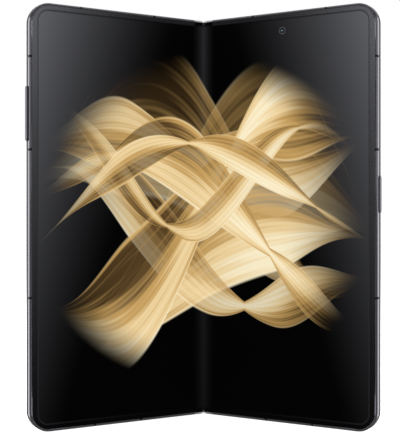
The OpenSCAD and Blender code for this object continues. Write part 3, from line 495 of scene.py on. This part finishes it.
def ribbon_group():
    """One twisting satin ribbon over what lies under it; place is (across, up) in half widths"""
    c = colours()
    graph, source, sink = new_group("satin_ribbon", [
        ("Across", "Float", 0.0), ("Up", "Float", 0.0), ("Under", "Color", (0, 0, 0, 1)),
        *((name, "Float", 0.0) for name in RIBBON_INPUTS)], [("Colour", "Color")])
    across, up = source["Across"], source["Up"]
    turn = graph.line(across, source["Waves"], source["Phase"])
    middle = graph.line(graph.wave(turn), source["Swing"], source["Height"])
    middle = graph.line(across, source["Slope"], middle)
    # Narrow where it twists and towards its ends
    twist = graph.wave(graph.line(across, source["Twists"], source["Twist Phase"]))
    span = graph.plus(graph.size(twist), 0.12)
    reach = graph.smooth(graph.size(across), source["Reach"], graph.times(source["Reach"], 0.45))
    span = graph.times(graph.times(span, source["Width"]), graph.plus(graph.times(reach, 0.9), 0.1))
    offset = graph.over(graph.minus(up, middle), span)
    inside = graph.times(graph.smooth(graph.size(offset), 1.0, 0.93), reach)
    # Light runs along the ribbon in soft folds, and turns over where it twists
    fold = graph.line(offset, 2.6, graph.times(twist, 1.9))
    broad = graph.line(graph.math("COSINE", fold), 0.36, 0.46)
    thread = graph.wave(graph.line(offset, THREADS, graph.times(across, THREAD_DRIFT)))
    hair = graph.wave(graph.line(offset, HAIRS, graph.times(across, HAIR_DRIFT)))
    fine = graph.line(thread, THREAD_LEVEL, graph.times(hair, HAIR_LEVEL))
    sweep = graph.times(graph.wave(graph.line(across, 5.1, offset)), 0.16)
    rim = graph.smooth(graph.size(offset), 0.88, 0.99, 0.0, 0.38)
    value = graph.math("ADD", graph.plus(broad, fine), graph.plus(sweep, rim), clamp=True)
    gold = graph.ramp(value, [
        (0.0, c.gold_dark), (0.36, c.gold), (0.68, c.gold_light), (1.0, c.gold_pale)])
    veil = graph.times(inside, source["Strength"])
    veil = graph.times(veil, graph.smooth(value, 0.0, 0.5, 0.72, 1.0))
    graph.feed(graph.mix(veil, source["Under"], gold), sink["Colour"])


# Where the design ends across and up, in half widths, and where it begins to thin out, as a share
DESIGN_ACROSS, DESIGN_UP, DESIGN_FULL = 1.02, 0.90, 0.74


def screen_picture_group():
    """The lit design: golden satin ribbons that cross the fold on a dark fading ground, which is
    painted sheen with a painted shade line round the screen
    """
    s = sizes()
    graph, source, sink = new_group(
        "screen_picture", [("Place", "Vector", (0, 0, 0))], [("Colour", "Color")])
    across, up = spread(graph, source["Place"])
    sheen = group_node(graph, "painted_corner_sheen", {"Across": across, "Up": up})
    picture = sheen["Colour"]
    for row in RIBBONS:
        picture = group_node(graph, "satin_ribbon", {
            "Across": across, "Up": up, "Under": picture,
            **dict(zip(RIBBON_INPUTS, row))})["Colour"]
    squares = [graph.math("POWER", graph.size(graph.over(part, end)), 2.0)
               for part, end in ((across, DESIGN_ACROSS), (up, DESIGN_UP))]
    far = graph.math("SQRT", graph.plus(*squares))
    picture = graph.mix(graph.smooth(far, 1.0, DESIGN_FULL), sheen["Colour"], picture)
    rim = group_node(graph, "rim_distance", {"Place": source["Place"]})["Distance"]
    # Painted shade line round the screen at the bezel's inner edge, left off the strip
    near_rim = graph.smooth(rim, -1.25 * s.shade_line_width, -0.85 * s.shade_line_width)
    past_strip = graph.smooth(graph.size(across), s.strip_half / s.half_width,
                              1.05 * s.strip_half / s.half_width)
    line = graph.times(near_rim, past_strip)
    graph.feed(graph.mix(line, picture, sheen["Line"]), sink["Colour"])


def spread(graph, spot):
    """Across and up in half widths, from a place on the unfolded front"""
    part = graph.split(spot)
    across = graph.over(part["X"], sizes().half_width)
    up = graph.over(graph.minus(part["Z"], BODY_H / 2), sizes().half_width)
    return across, up


# ---- materials

GRAIN_DEPTH = 0.02 * MM


def finish_material(name, colour, roughness, metallic=0.0, cloud=0.12, grain=0.1,
                    grain_scale=9000.0, stretch=1.0, bump=0.0, coat=0.0, specular=0.5, tint=1.0):
    """A plain finish: one colour with slight cloudiness, fine grain and a little bump"""
    material, graph, shader = new_material(name)
    out = group_node(graph, "fine_finish", {
        "Colour": (*colour, 1.0), "Roughness": roughness, "Cloud": cloud, "Grain": grain,
        "Grain Scale": grain_scale, "Stretch": stretch})
    graph.fill(shader, {
        "Base Color": out["Colour"], "Roughness": out["Roughness"], "Metallic": metallic,
        "Specular IOR Level": specular, "Specular Tint": (tint, tint, tint, 1.0)})
    if coat:
        graph.fill(shader, {"Coat Weight": coat, "Coat Roughness": 0.08})
    if bump:
        node = graph.add("ShaderNodeBump", {
            "Strength": bump, "Distance": GRAIN_DEPTH, "Height": out["Height"]})
        graph.feed(node.outputs["Normal"], shader["Normal"])
    return material


def unrolled(graph, side):
    """Place on the unfolded front: by the half's turn, or from the piece's UV map for side 0"""
    texture = graph.add("ShaderNodeTexCoord").outputs
    if not side:
        part = graph.split(texture["UV"])
        return graph.join({"X": part["X"], "Z": part["Y"]})
    home = place(side).inverted().to_translation()
    return graph.add("ShaderNodeMapping", {
        "Vector": texture["Object"], "Location": (side * home.x, home.y, home.z),
        "Rotation": (0, 0, -side * TILT)}, vector_type="POINT").outputs["Vector"]


def screen_material(name, side):
    """Lit screen under a thin clear film; side 1 right, -1 left, 0 for pieces with a UV map"""
    material, graph, shader = new_material(name)
    picture = group_node(graph, "screen_picture", {"Place": unrolled(graph, side)})["Colour"]
    graph.fill(shader, {
        "Emission Color": picture, "Emission Strength": 1.0, "Roughness": 0.3,
        "Base Color": (0.0003, 0.0003, 0.0003, 1.0), "Specular IOR Level": 0.01})
    return material


# Painted highlight on the bezel's outer edge: distances from the screen's visible edge, and gain
RIDGE_HIGHLIGHT_START, RIDGE_HIGHLIGHT_END, RIDGE_HIGHLIGHT_GAIN = 1.65 * MM, 2.0 * MM, 1.25


def bezel_material(name, side):
    """Black satin rim coloured with the front's painted sheen, and with a painted highlight on its
    outer edge
    """
    material, graph, shader = new_material(name)
    spot = unrolled(graph, side)
    across, up = spread(graph, spot)
    sheen = group_node(graph, "painted_corner_sheen", {"Across": across, "Up": up})["Bezel"]
    rim = group_node(graph, "rim_distance", {"Place": spot})["Distance"]
    ridge_highlight = graph.smooth(rim, RIDGE_HIGHLIGHT_START, RIDGE_HIGHLIGHT_END, 1.0, RIDGE_HIGHLIGHT_GAIN)
    out = group_node(graph, "fine_finish", {
        "Colour": graph.scaled(sheen, ridge_highlight), "Roughness": 0.5, "Cloud": 0.06, "Grain": 0.06})
    graph.fill(shader, {
        "Base Color": out["Colour"], "Roughness": out["Roughness"], "Specular IOR Level": 0.015})
    return material


def frame_material(name, side):
    """Polished dark metal whose flat side curves gently towards the back"""
    s = sizes()
    material = finish_material(name, colours().frame, 0.11, metallic=1.0, tint=0.5, cloud=0.06,
                               grain=0.0)
    graph = Graph(material.node_tree)
    depth = graph.split(unrolled(graph, side))["Y"]
    past = graph.most(graph.minus(depth, s.bend_start), 0.0)
    turning = graph.least(past, s.bend_end - s.bend_start)
    # Falls as a circle does up to the bend's end, then straight on
    reach = graph.line(turning, -0.5, past)
    height = graph.times(graph.times(turning, reach), -s.bend)
    bent = graph.add("ShaderNodeBump", {"Strength": 1.0, "Distance": 1.0, "Height": height})
    shader = material.node_tree.nodes["Principled BSDF"].inputs
    graph.feed(bent.outputs["Normal"], shader["Normal"])
    return material


def clear_glass(name):
    """Clear cover glass"""
    material, graph, shader = new_material(name)
    out = group_node(graph, "fine_finish", {
        "Colour": (0.86, 0.90, 0.92, 1.0), "Roughness": 0.02, "Cloud": 0.05, "Grain": 0.0})
    graph.fill(shader, {
        "Base Color": out["Colour"], "Roughness": out["Roughness"], "Transmission Weight": 1.0,
        "IOR": 1.3})
    return material


# Painted glints standing in for reflections on a lens element: place and half sizes of each, in
# its radii, and the glint's colour
PAINTED_GLINTS = [
    (-0.3, 0.0, 0.6, 0.7, (0.010, 0.032, 0.040, 1.0)),
    (0.45, 0.02, 0.4, 0.3, (0.045, 0.045, 0.07, 1.0)),
    (-0.18, 0.03, 0.34, 0.3, (0.18, 0.27, 0.31, 1.0)),
]


def coated_lens(name):
    """Dark lens element: painted teal and violet glints, standing in for its coating's reflections,
    on its own UV map, centred on 0
    """
    material, graph, shader = new_material(name)
    part = graph.split(graph.add("ShaderNodeTexCoord").outputs["UV"])
    colour = (0.004, 0.005, 0.007, 1.0)
    for x, y, wide, high, glint_colour in PAINTED_GLINTS:
        dx = graph.over(graph.minus(part["X"], x), wide)
        dy = graph.over(graph.minus(part["Y"], y), high)
        near = graph.plus(graph.times(dx, dx), graph.times(dy, dy))
        colour = graph.mix(graph.smooth(near, 1.0, 0.0), colour, glint_colour)
    graph.fill(shader, {
        "Base Color": colour, "Roughness": 0.05, "Specular IOR Level": 0.1, "Coat Weight": 0.1})
    return material


def build_materials():
    """Every finish by its name; "screen" is the dark panel of the pieces that aren't lit"""
    c = colours()
    dark = dict(cloud=0.06, grain=0.0)
    plain = {
        "spine_metal": (c.spine, 0.30, dict(metallic=1.0, grain=0.3, grain_scale=5000.0,
                                            stretch=0.02, bump=0.1)),
        # Caps lighter than the frame, partly a painted highlight
        "cap_metal": (c.lit_cap, 0.34, dict(metallic=0.9, grain=0.06)),
        "hinge_steel": ((0.5, 0.5, 0.52), 0.32, dict(metallic=1.0, grain=0.2, stretch=0.1)),
        "gear_brass": ((0.62, 0.46, 0.2), 0.3, dict(metallic=1.0)),
        "seal": ((0.010, 0.010, 0.011), 0.6, dict(specular=0.2)),
        "antenna": ((0.012, 0.012, 0.013), 0.6, dict(specular=0.03)),
        "back_glass": (c.back, 0.5, dict(grain=0.3, grain_scale=12000.0, bump=0.05,
                                         specular=0.08)),
        "island_metal": ((0.075, 0.076, 0.085), 0.42, dict(metallic=1.0, grain=0.2, bump=0.06,
                                                           tint=0.3)),
        "ring_metal": ((0.22, 0.22, 0.24), 0.16, dict(metallic=1.0, **dark)),
        "window_ring": ((0.055, 0.056, 0.058), 0.5, dict(specular=0.1, **dark)),
        "camera_black": ((0.010, 0.010, 0.012), 0.4, dict(grain=0.2, specular=0.25)),
        "flash_lens": ((0.80, 0.74, 0.52), 0.25, dict(grain=0.2, coat=0.8)),
        "battery_foil": ((0.06, 0.06, 0.065), 0.45, dict(cloud=0.3, bump=0.2)),
        "circuit_board": ((0.02, 0.10, 0.06), 0.4, dict(cloud=0.3)),
        "contact_gold": ((0.80, 0.58, 0.24), 0.25, dict(metallic=1.0, **dark)),
        "key_metal": ((0.06, 0.06, 0.067), 0.5, dict(metallic=1.0, tint=0.4, **dark)),
    }
    materials = {name: finish_material(name, colour, roughness, **rest)
                 for name, (colour, roughness, rest) in plain.items()}
    for side, half in ((1, "_right"), (-1, "_left"), (0, "_fold")):
        materials["screen" + half] = screen_material("screen" + half, side)
        if side:
            materials["frame" + half] = frame_material("frame" + half, side)
            materials["bezel" + half] = bezel_material("bezel" + half, side)
    materials["screen"] = finish_material("dark_panel", (0.008, 0.008, 0.010), 0.06, cloud=0.1,
                                          grain=0.0, specular=0.22)
    materials["lens_glass"] = clear_glass("lens_glass")
    materials["lens_element"] = coated_lens("lens_element")
    return materials


def dress(obj, material):
    obj.data.materials.clear()
    obj.data.materials.append(material)


# ---- mesh helpers

def in_scene(name, data):
    obj = bpy.data.objects.new(name, data)
    bpy.context.scene.collection.objects.link(obj)
    return obj


def from_bmesh(name, bm, smooth_angle=None):
    mesh = bpy.data.meshes.new(name)
    bm.to_mesh(mesh)
    bm.free()
    if smooth_angle is not None:
        mesh.shade_smooth()
        mesh.set_sharp_from_angle(angle=smooth_angle)
    return in_scene(name, mesh)


def settle(obj, body, material, slot):
    """Gives a finished piece its material and body; the slot is not used"""
    dress(obj, material)
    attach(obj, body)


# Points nearer than these are merged, in CAD meshes and in turned pieces
WELD, LATHE_WELD = 0.002 * MM, 1e-7
# Faces within the first angle count as flat, and edges sharper than the second get a bevel
FLAT_ANGLE, BEVEL_ANGLE = radians(0.5), radians(40)
# Edges sharper than these are shaded as creases: CAD pieces, the strip and turned pieces
CREASE, STRIP_CREASE, LATHE_CREASE = radians(32), radians(40), radians(35)


def refined(node, bevel):
    """A merged, smooth copy of a CAD node with its sharp edges eased, in the node's place"""
    bm = bmesh.new()
    bm.from_mesh(frame["nodes"][node].data)
    bmesh.ops.remove_doubles(bm, verts=bm.verts, dist=WELD)
    bmesh.ops.dissolve_degenerate(bm, edges=bm.edges, dist=WELD)
    if bevel:
        bmesh.ops.dissolve_limit(bm, angle_limit=FLAT_ANGLE, verts=bm.verts, edges=bm.edges)
    piece = from_bmesh(node + "_finished", bm, CREASE)
    if bevel:
        ease = piece.modifiers.new("eased edges", "BEVEL")
        ease.width = bevel
        ease.segments = 2
        ease.limit_method = "ANGLE"
        ease.angle_limit = BEVEL_ANGLE
        ease.harden_normals = True
    even = piece.modifiers.new("even shading", "WEIGHTED_NORMAL")
    even.keep_sharp = True
    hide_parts(node)
    return piece


# ---- operators

MATERIALS = {}
# Nodes whose finish isn't named like their slot
FINISH_OF = {
    "inner_display_right": "screen_right", "inner_display_left": "screen_left",
    "right_bezel": "bezel_right", "left_bezel": "bezel_left", "cover_glass": "screen",
    "right_frame": "frame_right", "left_frame": "frame_left", "card_tray": "frame_left",
}


def finish_of(node):
    return MATERIALS[FINISH_OF.get(node, SLOT_OF[node])]


class PHONE_OT_finishes(bpy.types.Operator):
    """Builds the shared effects and gives every CAD node its finish"""
    bl_idname = "phone.finishes"
    bl_label = "Finishes"

    def execute(self, context):
        for build in (fine_finish_group, painted_sheen_group, rim_group, ribbon_group,
                      screen_picture_group):
            build()
        MATERIALS.update(build_materials())
        for name, obj in frame["nodes"].items():
            dress(obj, finish_of(name))
        return {"FINISHED"}


class PHONE_OT_shells(bpy.types.Operator):
    """Finishes the shells, caps, keys and covers with smooth normals and eased edges"""
    bl_idname = "phone.shells"
    bl_label = "Shells and keys"

    def execute(self, context):
        bevel = sizes().edge_bevel
        easing = {
            "right_frame": 0.0, "left_frame": 0.0, "right_bezel": bevel, "left_bezel": bevel,
            "right_hinge_caps": bevel, "left_hinge_caps": bevel, "spine_cover": bevel,
            "rear_cover": bevel, "cover_glass": bevel, "camera_island": 2 * bevel,
            "lens_covers": bevel, "power_key": bevel, "volume_rocker": bevel,
            "card_tray": bevel / 2, "right_antenna_bands": 0.0, "left_antenna_bands": 0.0,
            "usb_port": 0.0,
        }
        for node, width in easing.items():
            settle(refined(node, width), BODY_OF[node], finish_of(node), SLOT_OF[node])
        return {"FINISHED"}


class PHONE_OT_fold_strips(bpy.types.Operator):
    """Models the screen across the fold as two strips, shaped to the halves' present turn"""
    bl_idname = "phone.fold_strips"
    bl_label = "Screen across the fold"

    def execute(self, context):
        for side, name in ((1, "right"), (-1, "left")):
            strip = self.strip(side, name)
            dress(strip, MATERIALS["screen_fold"])
            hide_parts("inner_display_fold")
            tangent = half_point(side, 2 * AXIS.x, 0, 0)
            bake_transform(strip)
        return {"FINISHED"}

    def line(self, side):
        """Places across the strip's surface from the fold line out, with the unrolled distances"""
        s = sizes()
        flat_u = 2 * AXIS.x
        tangent = half_point(side, flat_u, s.screen_depth, 0)
        fold_y = AXIS.y - s.axis_depth + s.screen_depth
        # The arc's radius puts its middle at the flat level
        radius = abs(tangent.x) / sin(-TILT)
        steps = s.strip_steps
        for i in range(steps + 1):
            turn = -TILT * i / steps
            spot = Vector((side * radius * sin(turn), fold_y - radius * (1 - cos(turn)), 0))
            yield spot, flat_u * i / steps
        for u in ((flat_u + s.gap_shade_end) / 2, s.gap_shade_end, s.strip_half):
            yield half_point(side, u, s.screen_depth, 0), u

    def end_height(self, u):
        """Height of the strip's lower end at this distance out: notch, the black band of painted
        shade, or plain end
        """
        s = sizes()
        if u < s.notch_radius:
            return s.strip_margin + (s.notch_radius ** 2 - u ** 2) ** 0.5
        return s.gap_shade_margin if u <= s.gap_shade_end else s.strip_margin

    def strip(self, side, name):
        s = sizes()
        bm = bmesh.new()
        uv_layer = bm.loops.layers.uv.new("unrolled")
        line = list(self.line(side))
        columns = [bm.verts.new((spot.x, spot.y, self.end_height(u))) for spot, u in line]
        edges = [bm.edges.new(pair) for pair in zip(columns, columns[1:])]
        grown = bmesh.ops.extrude_edge_only(bm, edges=edges)
        tops = [v for v in grown["geom"] if isinstance(v, bmesh.types.BMVert)]
        # The upper end mirrors the lower one
        for vert in tops:
            vert.co.z = BODY_H - vert.co.z
        for face in bm.faces:
            for loop in face.loops:
                u = min(line, key=lambda p: (p[0].x - loop.vert.co.x) ** 2)[1]
                loop[uv_layer].uv = (side * u, loop.vert.co.z)
        bmesh.ops.recalc_face_normals(bm, faces=bm.faces)
        if sum(f.normal.y for f in bm.faces) > 0:
            bmesh.ops.reverse_faces(bm, faces=bm.faces)
        bmesh.ops.solidify(bm, geom=bm.faces[:], thickness=s.screen_thickness)
        return from_bmesh("fold_strip_" + name, bm, STRIP_CREASE)


def lathed(name, side, u, z, profile, segments=48):
    """A turned piece about an axis through a half at (u, z); profile holds (radius, depth) rows"""
    bm = bmesh.new()
    spots = [bm.verts.new((r, w, 0)) for r, w in profile]
    edges = [bm.edges.new(pair) for pair in zip(spots, spots[1:])]
    bmesh.ops.spin(bm, geom=spots + edges, cent=(0, 0, 0), axis=(0, 1, 0), angle=2 * pi,
                   steps=segments, use_merge=True)
    bmesh.ops.remove_doubles(bm, verts=bm.verts, dist=LATHE_WELD)
    bmesh.ops.recalc_face_normals(bm, faces=bm.faces)
    widest = max(r for r, w in profile)
    uv_layer = bm.loops.layers.uv.new("face_on")
    for face in bm.faces:
        for loop in face.loops:
            loop[uv_layer].uv = (loop.vert.co.x / widest, loop.vert.co.z / widest)
    bmesh.ops.transform(bm, matrix=place(side) @ Matrix.Translation((u, 0, z)), verts=bm.verts)
    if side < 0:
        bmesh.ops.reverse_faces(bm, faces=bm.faces)
    return from_bmesh(name, bm, LATHE_CREASE)


def dome(radius, rim_w, top_w, rings=8):
    """Profile of a low dome from its rim to its middle"""
    return [(radius * cos(pi / 2 * k / rings), rim_w + (top_w - rim_w) * sin(pi / 2 * k / rings))
            for k in range(rings + 1)]


def ring(inner, outer, low_w, high_w, ease):
    """Closed profile of a flat ring with eased corners on the high side"""
    step = ease if high_w > low_w else -ease
    return [(outer, low_w), (outer, high_w - step), (outer - ease, high_w), (inner + ease, high_w),
            (inner, high_w - step), (inner, low_w), (outer, low_w)]


# Ring (inner and outer radius, low and high depth, easing) and lens element (radius, depths of rim
# and middle) of each small camera, in mm; the cover camera's depths count from the back
INNER_RING = (1.08, 1.38, 0.42, 0.37, 0.02)
INNER_LENS = (0.99, 0.63, 0.47)
COVER_RING = (1.25, 1.75, -0.05, 0.02, 0.01)
COVER_LENS = (1.25, 0.002, 0.03)


class PHONE_OT_windows(bpy.types.Operator):
    """Adds the rings and lens elements of the inner camera and the cover camera"""
    bl_idname = "phone.windows"
    bl_label = "Small cameras"

    def execute(self, context):
        spots = context.scene.phone_cameras
        self.camera("inner", 1, spots.inner_u, spots.inner_top, 0.0, INNER_RING, INNER_LENS)
        self.camera("cover", -1, spots.cover_u, spots.cover_top, sizes().thickness, COVER_RING,
                    COVER_LENS)
        return {"FINISHED"}

    def camera(self, name, side, u, drop, face, ring_row, lens_row):
        body = "right_half" if side > 0 else "left_half"
        inner, outer, low, high, ease = (value * MM for value in ring_row)
        rim = lathed(name + "_camera_ring", side, u, BODY_H - drop,
                     ring(inner, outer, face + low, face + high, ease))
        settle(rim, body, MATERIALS["window_ring"], "camera_black")
        radius, low, high = (value * MM for value in lens_row)
        lens = lathed(name + "_camera_lens", side, u, BODY_H - drop,
                      dome(radius, face + low, face + high))
        settle(lens, body, MATERIALS["lens_element"], "lens_glass")


# Name, place from the island's middle and radius of each of its lenses
LENSES = (("main", 0, 11 * MM, 6.2 * MM), ("wide", 0, -11 * MM, 6.2 * MM),
          ("tele", -8.6 * MM, 0, 3.6 * MM))
# The rings round the covers: clearance, reach and easing, then depth and height about the face
RING_GAP, RING_REACH, RING_EASE = 0.02 * MM, 0.5 * MM, 0.05 * MM
RING_LOW, RING_HIGH = 0.1 * MM, 0.12 * MM
# The lens element: its share of the radius, and the depths of its rim and middle
PUPIL, PUPIL_RIM, PUPIL_TOP = 0.42, 1.85 * MM, 1.35 * MM
# The stepped barrel: its mouth's inset and depth, and its steps' number, first depth and reach
MOUTH_INSET, MOUTH_DEPTH = 1.35 * MM, 0.69 * MM
STEPS_DOWN, STEP_START, STEP_REACH = 4, 0.68 * MM, 1.17 * MM
# The flash: place from the island's middle, and its ridges' number, radius, pitch, flank and depths
FLASH_U, FLASH_RIDGES = 8.8 * MM, 8
FLASH_RADIUS, FLASH_PITCH, FLASH_FLANK = 1.68 * MM, 0.21 * MM, 0.10 * MM
FLASH_FOOT, FLASH_CREST = 0.10 * MM, 0.05 * MM


class PHONE_OT_lenses(bpy.types.Operator):
    """Adds the rings, stepped barrels and lens elements of the island, and its ribbed flash"""
    bl_idname = "phone.lenses"
    bl_label = "Camera island"

    def execute(self, context):
        spots = context.scene.phone_cameras
        face = sizes().thickness + spots.island_height
        middle_z = BODY_H - spots.island_top
        for name, du, dz, radius in LENSES:
            at = (1, spots.island_u + du, middle_z + dz)
            rim = lathed("lens_ring_" + name, *at, ring(
                radius + RING_GAP, radius + RING_REACH, face - RING_LOW, face + RING_HIGH,
                RING_EASE), 96)
            settle(rim, "right_half", MATERIALS["ring_metal"], "island_metal")
            barrel = lathed("lens_barrel_" + name, *at, self.steps(radius, face), 64)
            settle(barrel, "right_half", MATERIALS["camera_black"], "camera_black")
            element = lathed("lens_element_" + name, *at, dome(
                radius * PUPIL, face - PUPIL_RIM, face - PUPIL_TOP))
            settle(element, "right_half", MATERIALS["lens_element"], "lens_glass")
        ridges = []
        for k in range(FLASH_RIDGES):
            outer = FLASH_RADIUS - FLASH_PITCH * k
            ridges += [(outer, face - FLASH_FOOT), (outer - FLASH_FLANK, face - FLASH_CREST)]
        ridges.append((0, face - FLASH_FOOT))
        flash = lathed("flash_ridges", 1, spots.island_u + FLASH_U, middle_z, ridges)
        settle(flash, "right_half", MATERIALS["flash_lens"], "flash_lens")
        return {"FINISHED"}

    def steps(self, radius, face):
        """Profile of the stepped light trap, from the barrel's mouth down to the lens element"""
        mouth, inner = radius - MOUTH_INSET, radius * PUPIL
        profile = [(mouth, face - MOUTH_DEPTH)]
        for k in range(STEPS_DOWN):
            r = mouth - (mouth - inner) * (k + 1) / STEPS_DOWN
            w = face - STEP_START - STEP_REACH * (k + 0.75) / STEPS_DOWN
            profile += [(profile[-1][0], w), (r, w)]
        return profile


# The port's contacts: number in a row, pitch, distance from the tongue's middle, height of their
# middle, and size
CONTACTS, CONTACT_PITCH = 12, 0.5 * MM
CONTACT_OUT, CONTACT_Z = 0.36 * MM, 3.9 * MM
CONTACT_SIZE = (0.26 * MM, 0.04 * MM, 4.4 * MM)


class PHONE_OT_contacts(bpy.types.Operator):
    """Adds the gilt contacts on both faces of the port's tongue"""
    bl_idname = "phone.contacts"
    bl_label = "Port contacts"

    def execute(self, context):
        spots = context.scene.phone_cameras
        size = Matrix.Diagonal((*CONTACT_SIZE, 1))
        bm = bmesh.new()
        for k in range(CONTACTS):
            u = spots.port_u + (k - (CONTACTS - 1) / 2) * CONTACT_PITCH
            for face in (-1, 1):
                at = Matrix.Translation((u, spots.port_w + face * CONTACT_OUT, CONTACT_Z))
                bmesh.ops.create_cube(bm, size=1, matrix=place(1) @ at @ size)
        contacts = from_bmesh("port_contacts", bm)
        settle(contacts, "right_half", MATERIALS["contact_gold"], "gear_brass")
        return {"FINISHED"}


# The stage, in metres: places, aims and sizes of its lights and of the black flag, and its floor
FLOOR_HALF, FLOOR_GLOW = 6, 0.82
SIDE_LIGHT, SIDE_AIM, SIDE_SIZE = (0.53, 0.12), (0.063, -0.02), (0.6, 0.7)
TOP_LIGHT, TOP_AIM, TOP_SIZE = (0, 0, 0.8), (0, 0, 0), (1.2, 0.7)
FRONT_LIGHT, FRONT_SIZE = (0, -1.1, 0.35), (0.5, 0.5)
FLAG_BACK, FLAG_SIZE = 0.6, (1.3, 0.56)
SENSOR_WIDTH = 36  # in mm


def seen_by_eye(graph):
    """1 for rays from the camera, from metal and through glass, and 0 for light"""
    path = graph.add("ShaderNodeLightPath").outputs
    return graph.most(path["Is Camera Ray"],
                      graph.most(path["Is Glossy Ray"], path["Is Transmission Ray"]))


class PHONE_OT_stage(bpy.types.Operator):
    """Sets out the pale floor and backdrop, the lights and the camera"""
    bl_idname = "phone.stage"
    bl_label = "Stage"

    def execute(self, context):
        self.surfaces()
        self.world()
        self.lights()
        self.camera()
        context.scene.view_settings.view_transform = "Standard"
        return {"FINISHED"}

    def surfaces(self):
        bm = bmesh.new()
        bmesh.ops.create_grid(bm, x_segments=1, y_segments=1, size=FLOOR_HALF)
        floor = from_bmesh("floor", bm)
        material, graph, shader = new_material("floor_white")
        graph.fill(shader, {
            "Base Color": (0.5, 0.5, 0.5, 1.0), "Roughness": 1.0, "Specular IOR Level": 0.0,
            "Emission Color": (1, 1, 1, 1),
            "Emission Strength": graph.times(seen_by_eye(graph), FLOOR_GLOW)})
        dress(floor, material)
        floor.visible_glossy = False

    def world(self):
        world = bpy.data.worlds.new("studio")
        bpy.context.scene.world = world
        world.use_nodes = True
        graph = Graph(world.node_tree)
        # White to the eye, dimmer as light
        fill = settings().world
        graph.fill(world.node_tree.nodes["Background"].inputs, {
            "Color": (1, 1, 1, 1), "Strength": graph.line(seen_by_eye(graph), 1.0 - fill, fill)})

    def flag(self, at, toward, size):
        """A black card that only shows in polished metal, as on a product stage"""
        bm = bmesh.new()
        bmesh.ops.create_grid(bm, x_segments=1, y_segments=1, size=0.5)
        turn = (Vector(at) - Vector(toward)).to_track_quat("Z", "Y").to_matrix().to_4x4()
        bmesh.ops.transform(bm, matrix=Matrix.Translation(at) @ turn @ Matrix.Diagonal(
            (*size, 1, 1)), verts=bm.verts)
        card = from_bmesh("back_flag", bm)
        material, graph, shader = new_material("flag_black")
        graph.fill(shader, {"Base Color": (0.0, 0.0, 0.0, 1.0), "Specular IOR Level": 0.0})
        dress(card, material)
        card.visible_camera = card.visible_diffuse = card.visible_shadow = False
        card.visible_transmission = False

    def softbox(self, name, at, toward, size, power):
        data = bpy.data.lights.new(name, "AREA")
        data.shape = "RECTANGLE"
        data.size, data.size_y = size
        data.energy = power
        lamp = in_scene(name, data)
        lamp.location = at
        lamp.rotation_euler = (Vector(toward) - Vector(at)).to_track_quat("-Z", "Y").to_euler()

    def lights(self):
        power = settings()
        middle = (0, 0, BODY_H / 2)
        for side in (-1, 1):
            at, aim = ((side * x, y, BODY_H / 2) for x, y in (SIDE_LIGHT, SIDE_AIM))
            self.softbox("side_light", at, aim, SIDE_SIZE, power.softbox)
        self.flag((0, FLAG_BACK, BODY_H / 2), middle, FLAG_SIZE)
        self.softbox("top_light", TOP_LIGHT, TOP_AIM, TOP_SIZE, power.top_power)
        self.softbox("front_light", FRONT_LIGHT, middle, FRONT_SIZE, power.front_power)

    def camera(self):
        view = settings()
        data = bpy.data.cameras.new("camera")
        data.sensor_width = SENSOR_WIDTH
        data.lens = view.lens
        data.shift_x = view.shift
        data.clip_start = 0.01
        camera = in_scene("camera", data)
        camera.location = (0, AXIS.y + view.fold_front - view.distance, view.eye_height)
        camera.rotation_euler = (pi / 2, 0, 0)
        bpy.context.scene.camera = camera


class PHONE_PT_panel(bpy.types.Panel):
    """Lists the steps that dress the phone"""
    bl_label = "Folding phone"
    bl_idname = "PHONE_PT_panel"
    bl_space_type = "VIEW_3D"
    bl_region_type = "UI"
    bl_category = "Phone"

    def draw(self, context):
        for step in STEPS:
            self.layout.operator(step.bl_idname)


STEPS = (PHONE_OT_finishes, PHONE_OT_shells, PHONE_OT_fold_strips, PHONE_OT_windows,
         PHONE_OT_lenses, PHONE_OT_contacts, PHONE_OT_stage)
GROUPS = {"phone_sizes": PhoneSizes, "phone_cameras": CameraPlaces,
          "phone_colours": PhoneColours, "phone_stage": StageSettings}
CLASSES = (*GROUPS.values(), *STEPS, PHONE_PT_panel)


def register():
    for cls in CLASSES:
        bpy.utils.register_class(cls)
    for name, group in GROUPS.items():
        setattr(bpy.types.Scene, name, PointerProperty(type=group))


def unregister():
    for name in GROUPS:
        delattr(bpy.types.Scene, name)
    for cls in reversed(CLASSES):
        bpy.utils.unregister_class(cls)


def main():
    register()
    for step in STEPS:
        prefix, name = step.bl_idname.split(".")
        getattr(getattr(bpy.ops, prefix), name)()


if __name__ == "__main__":
    main()
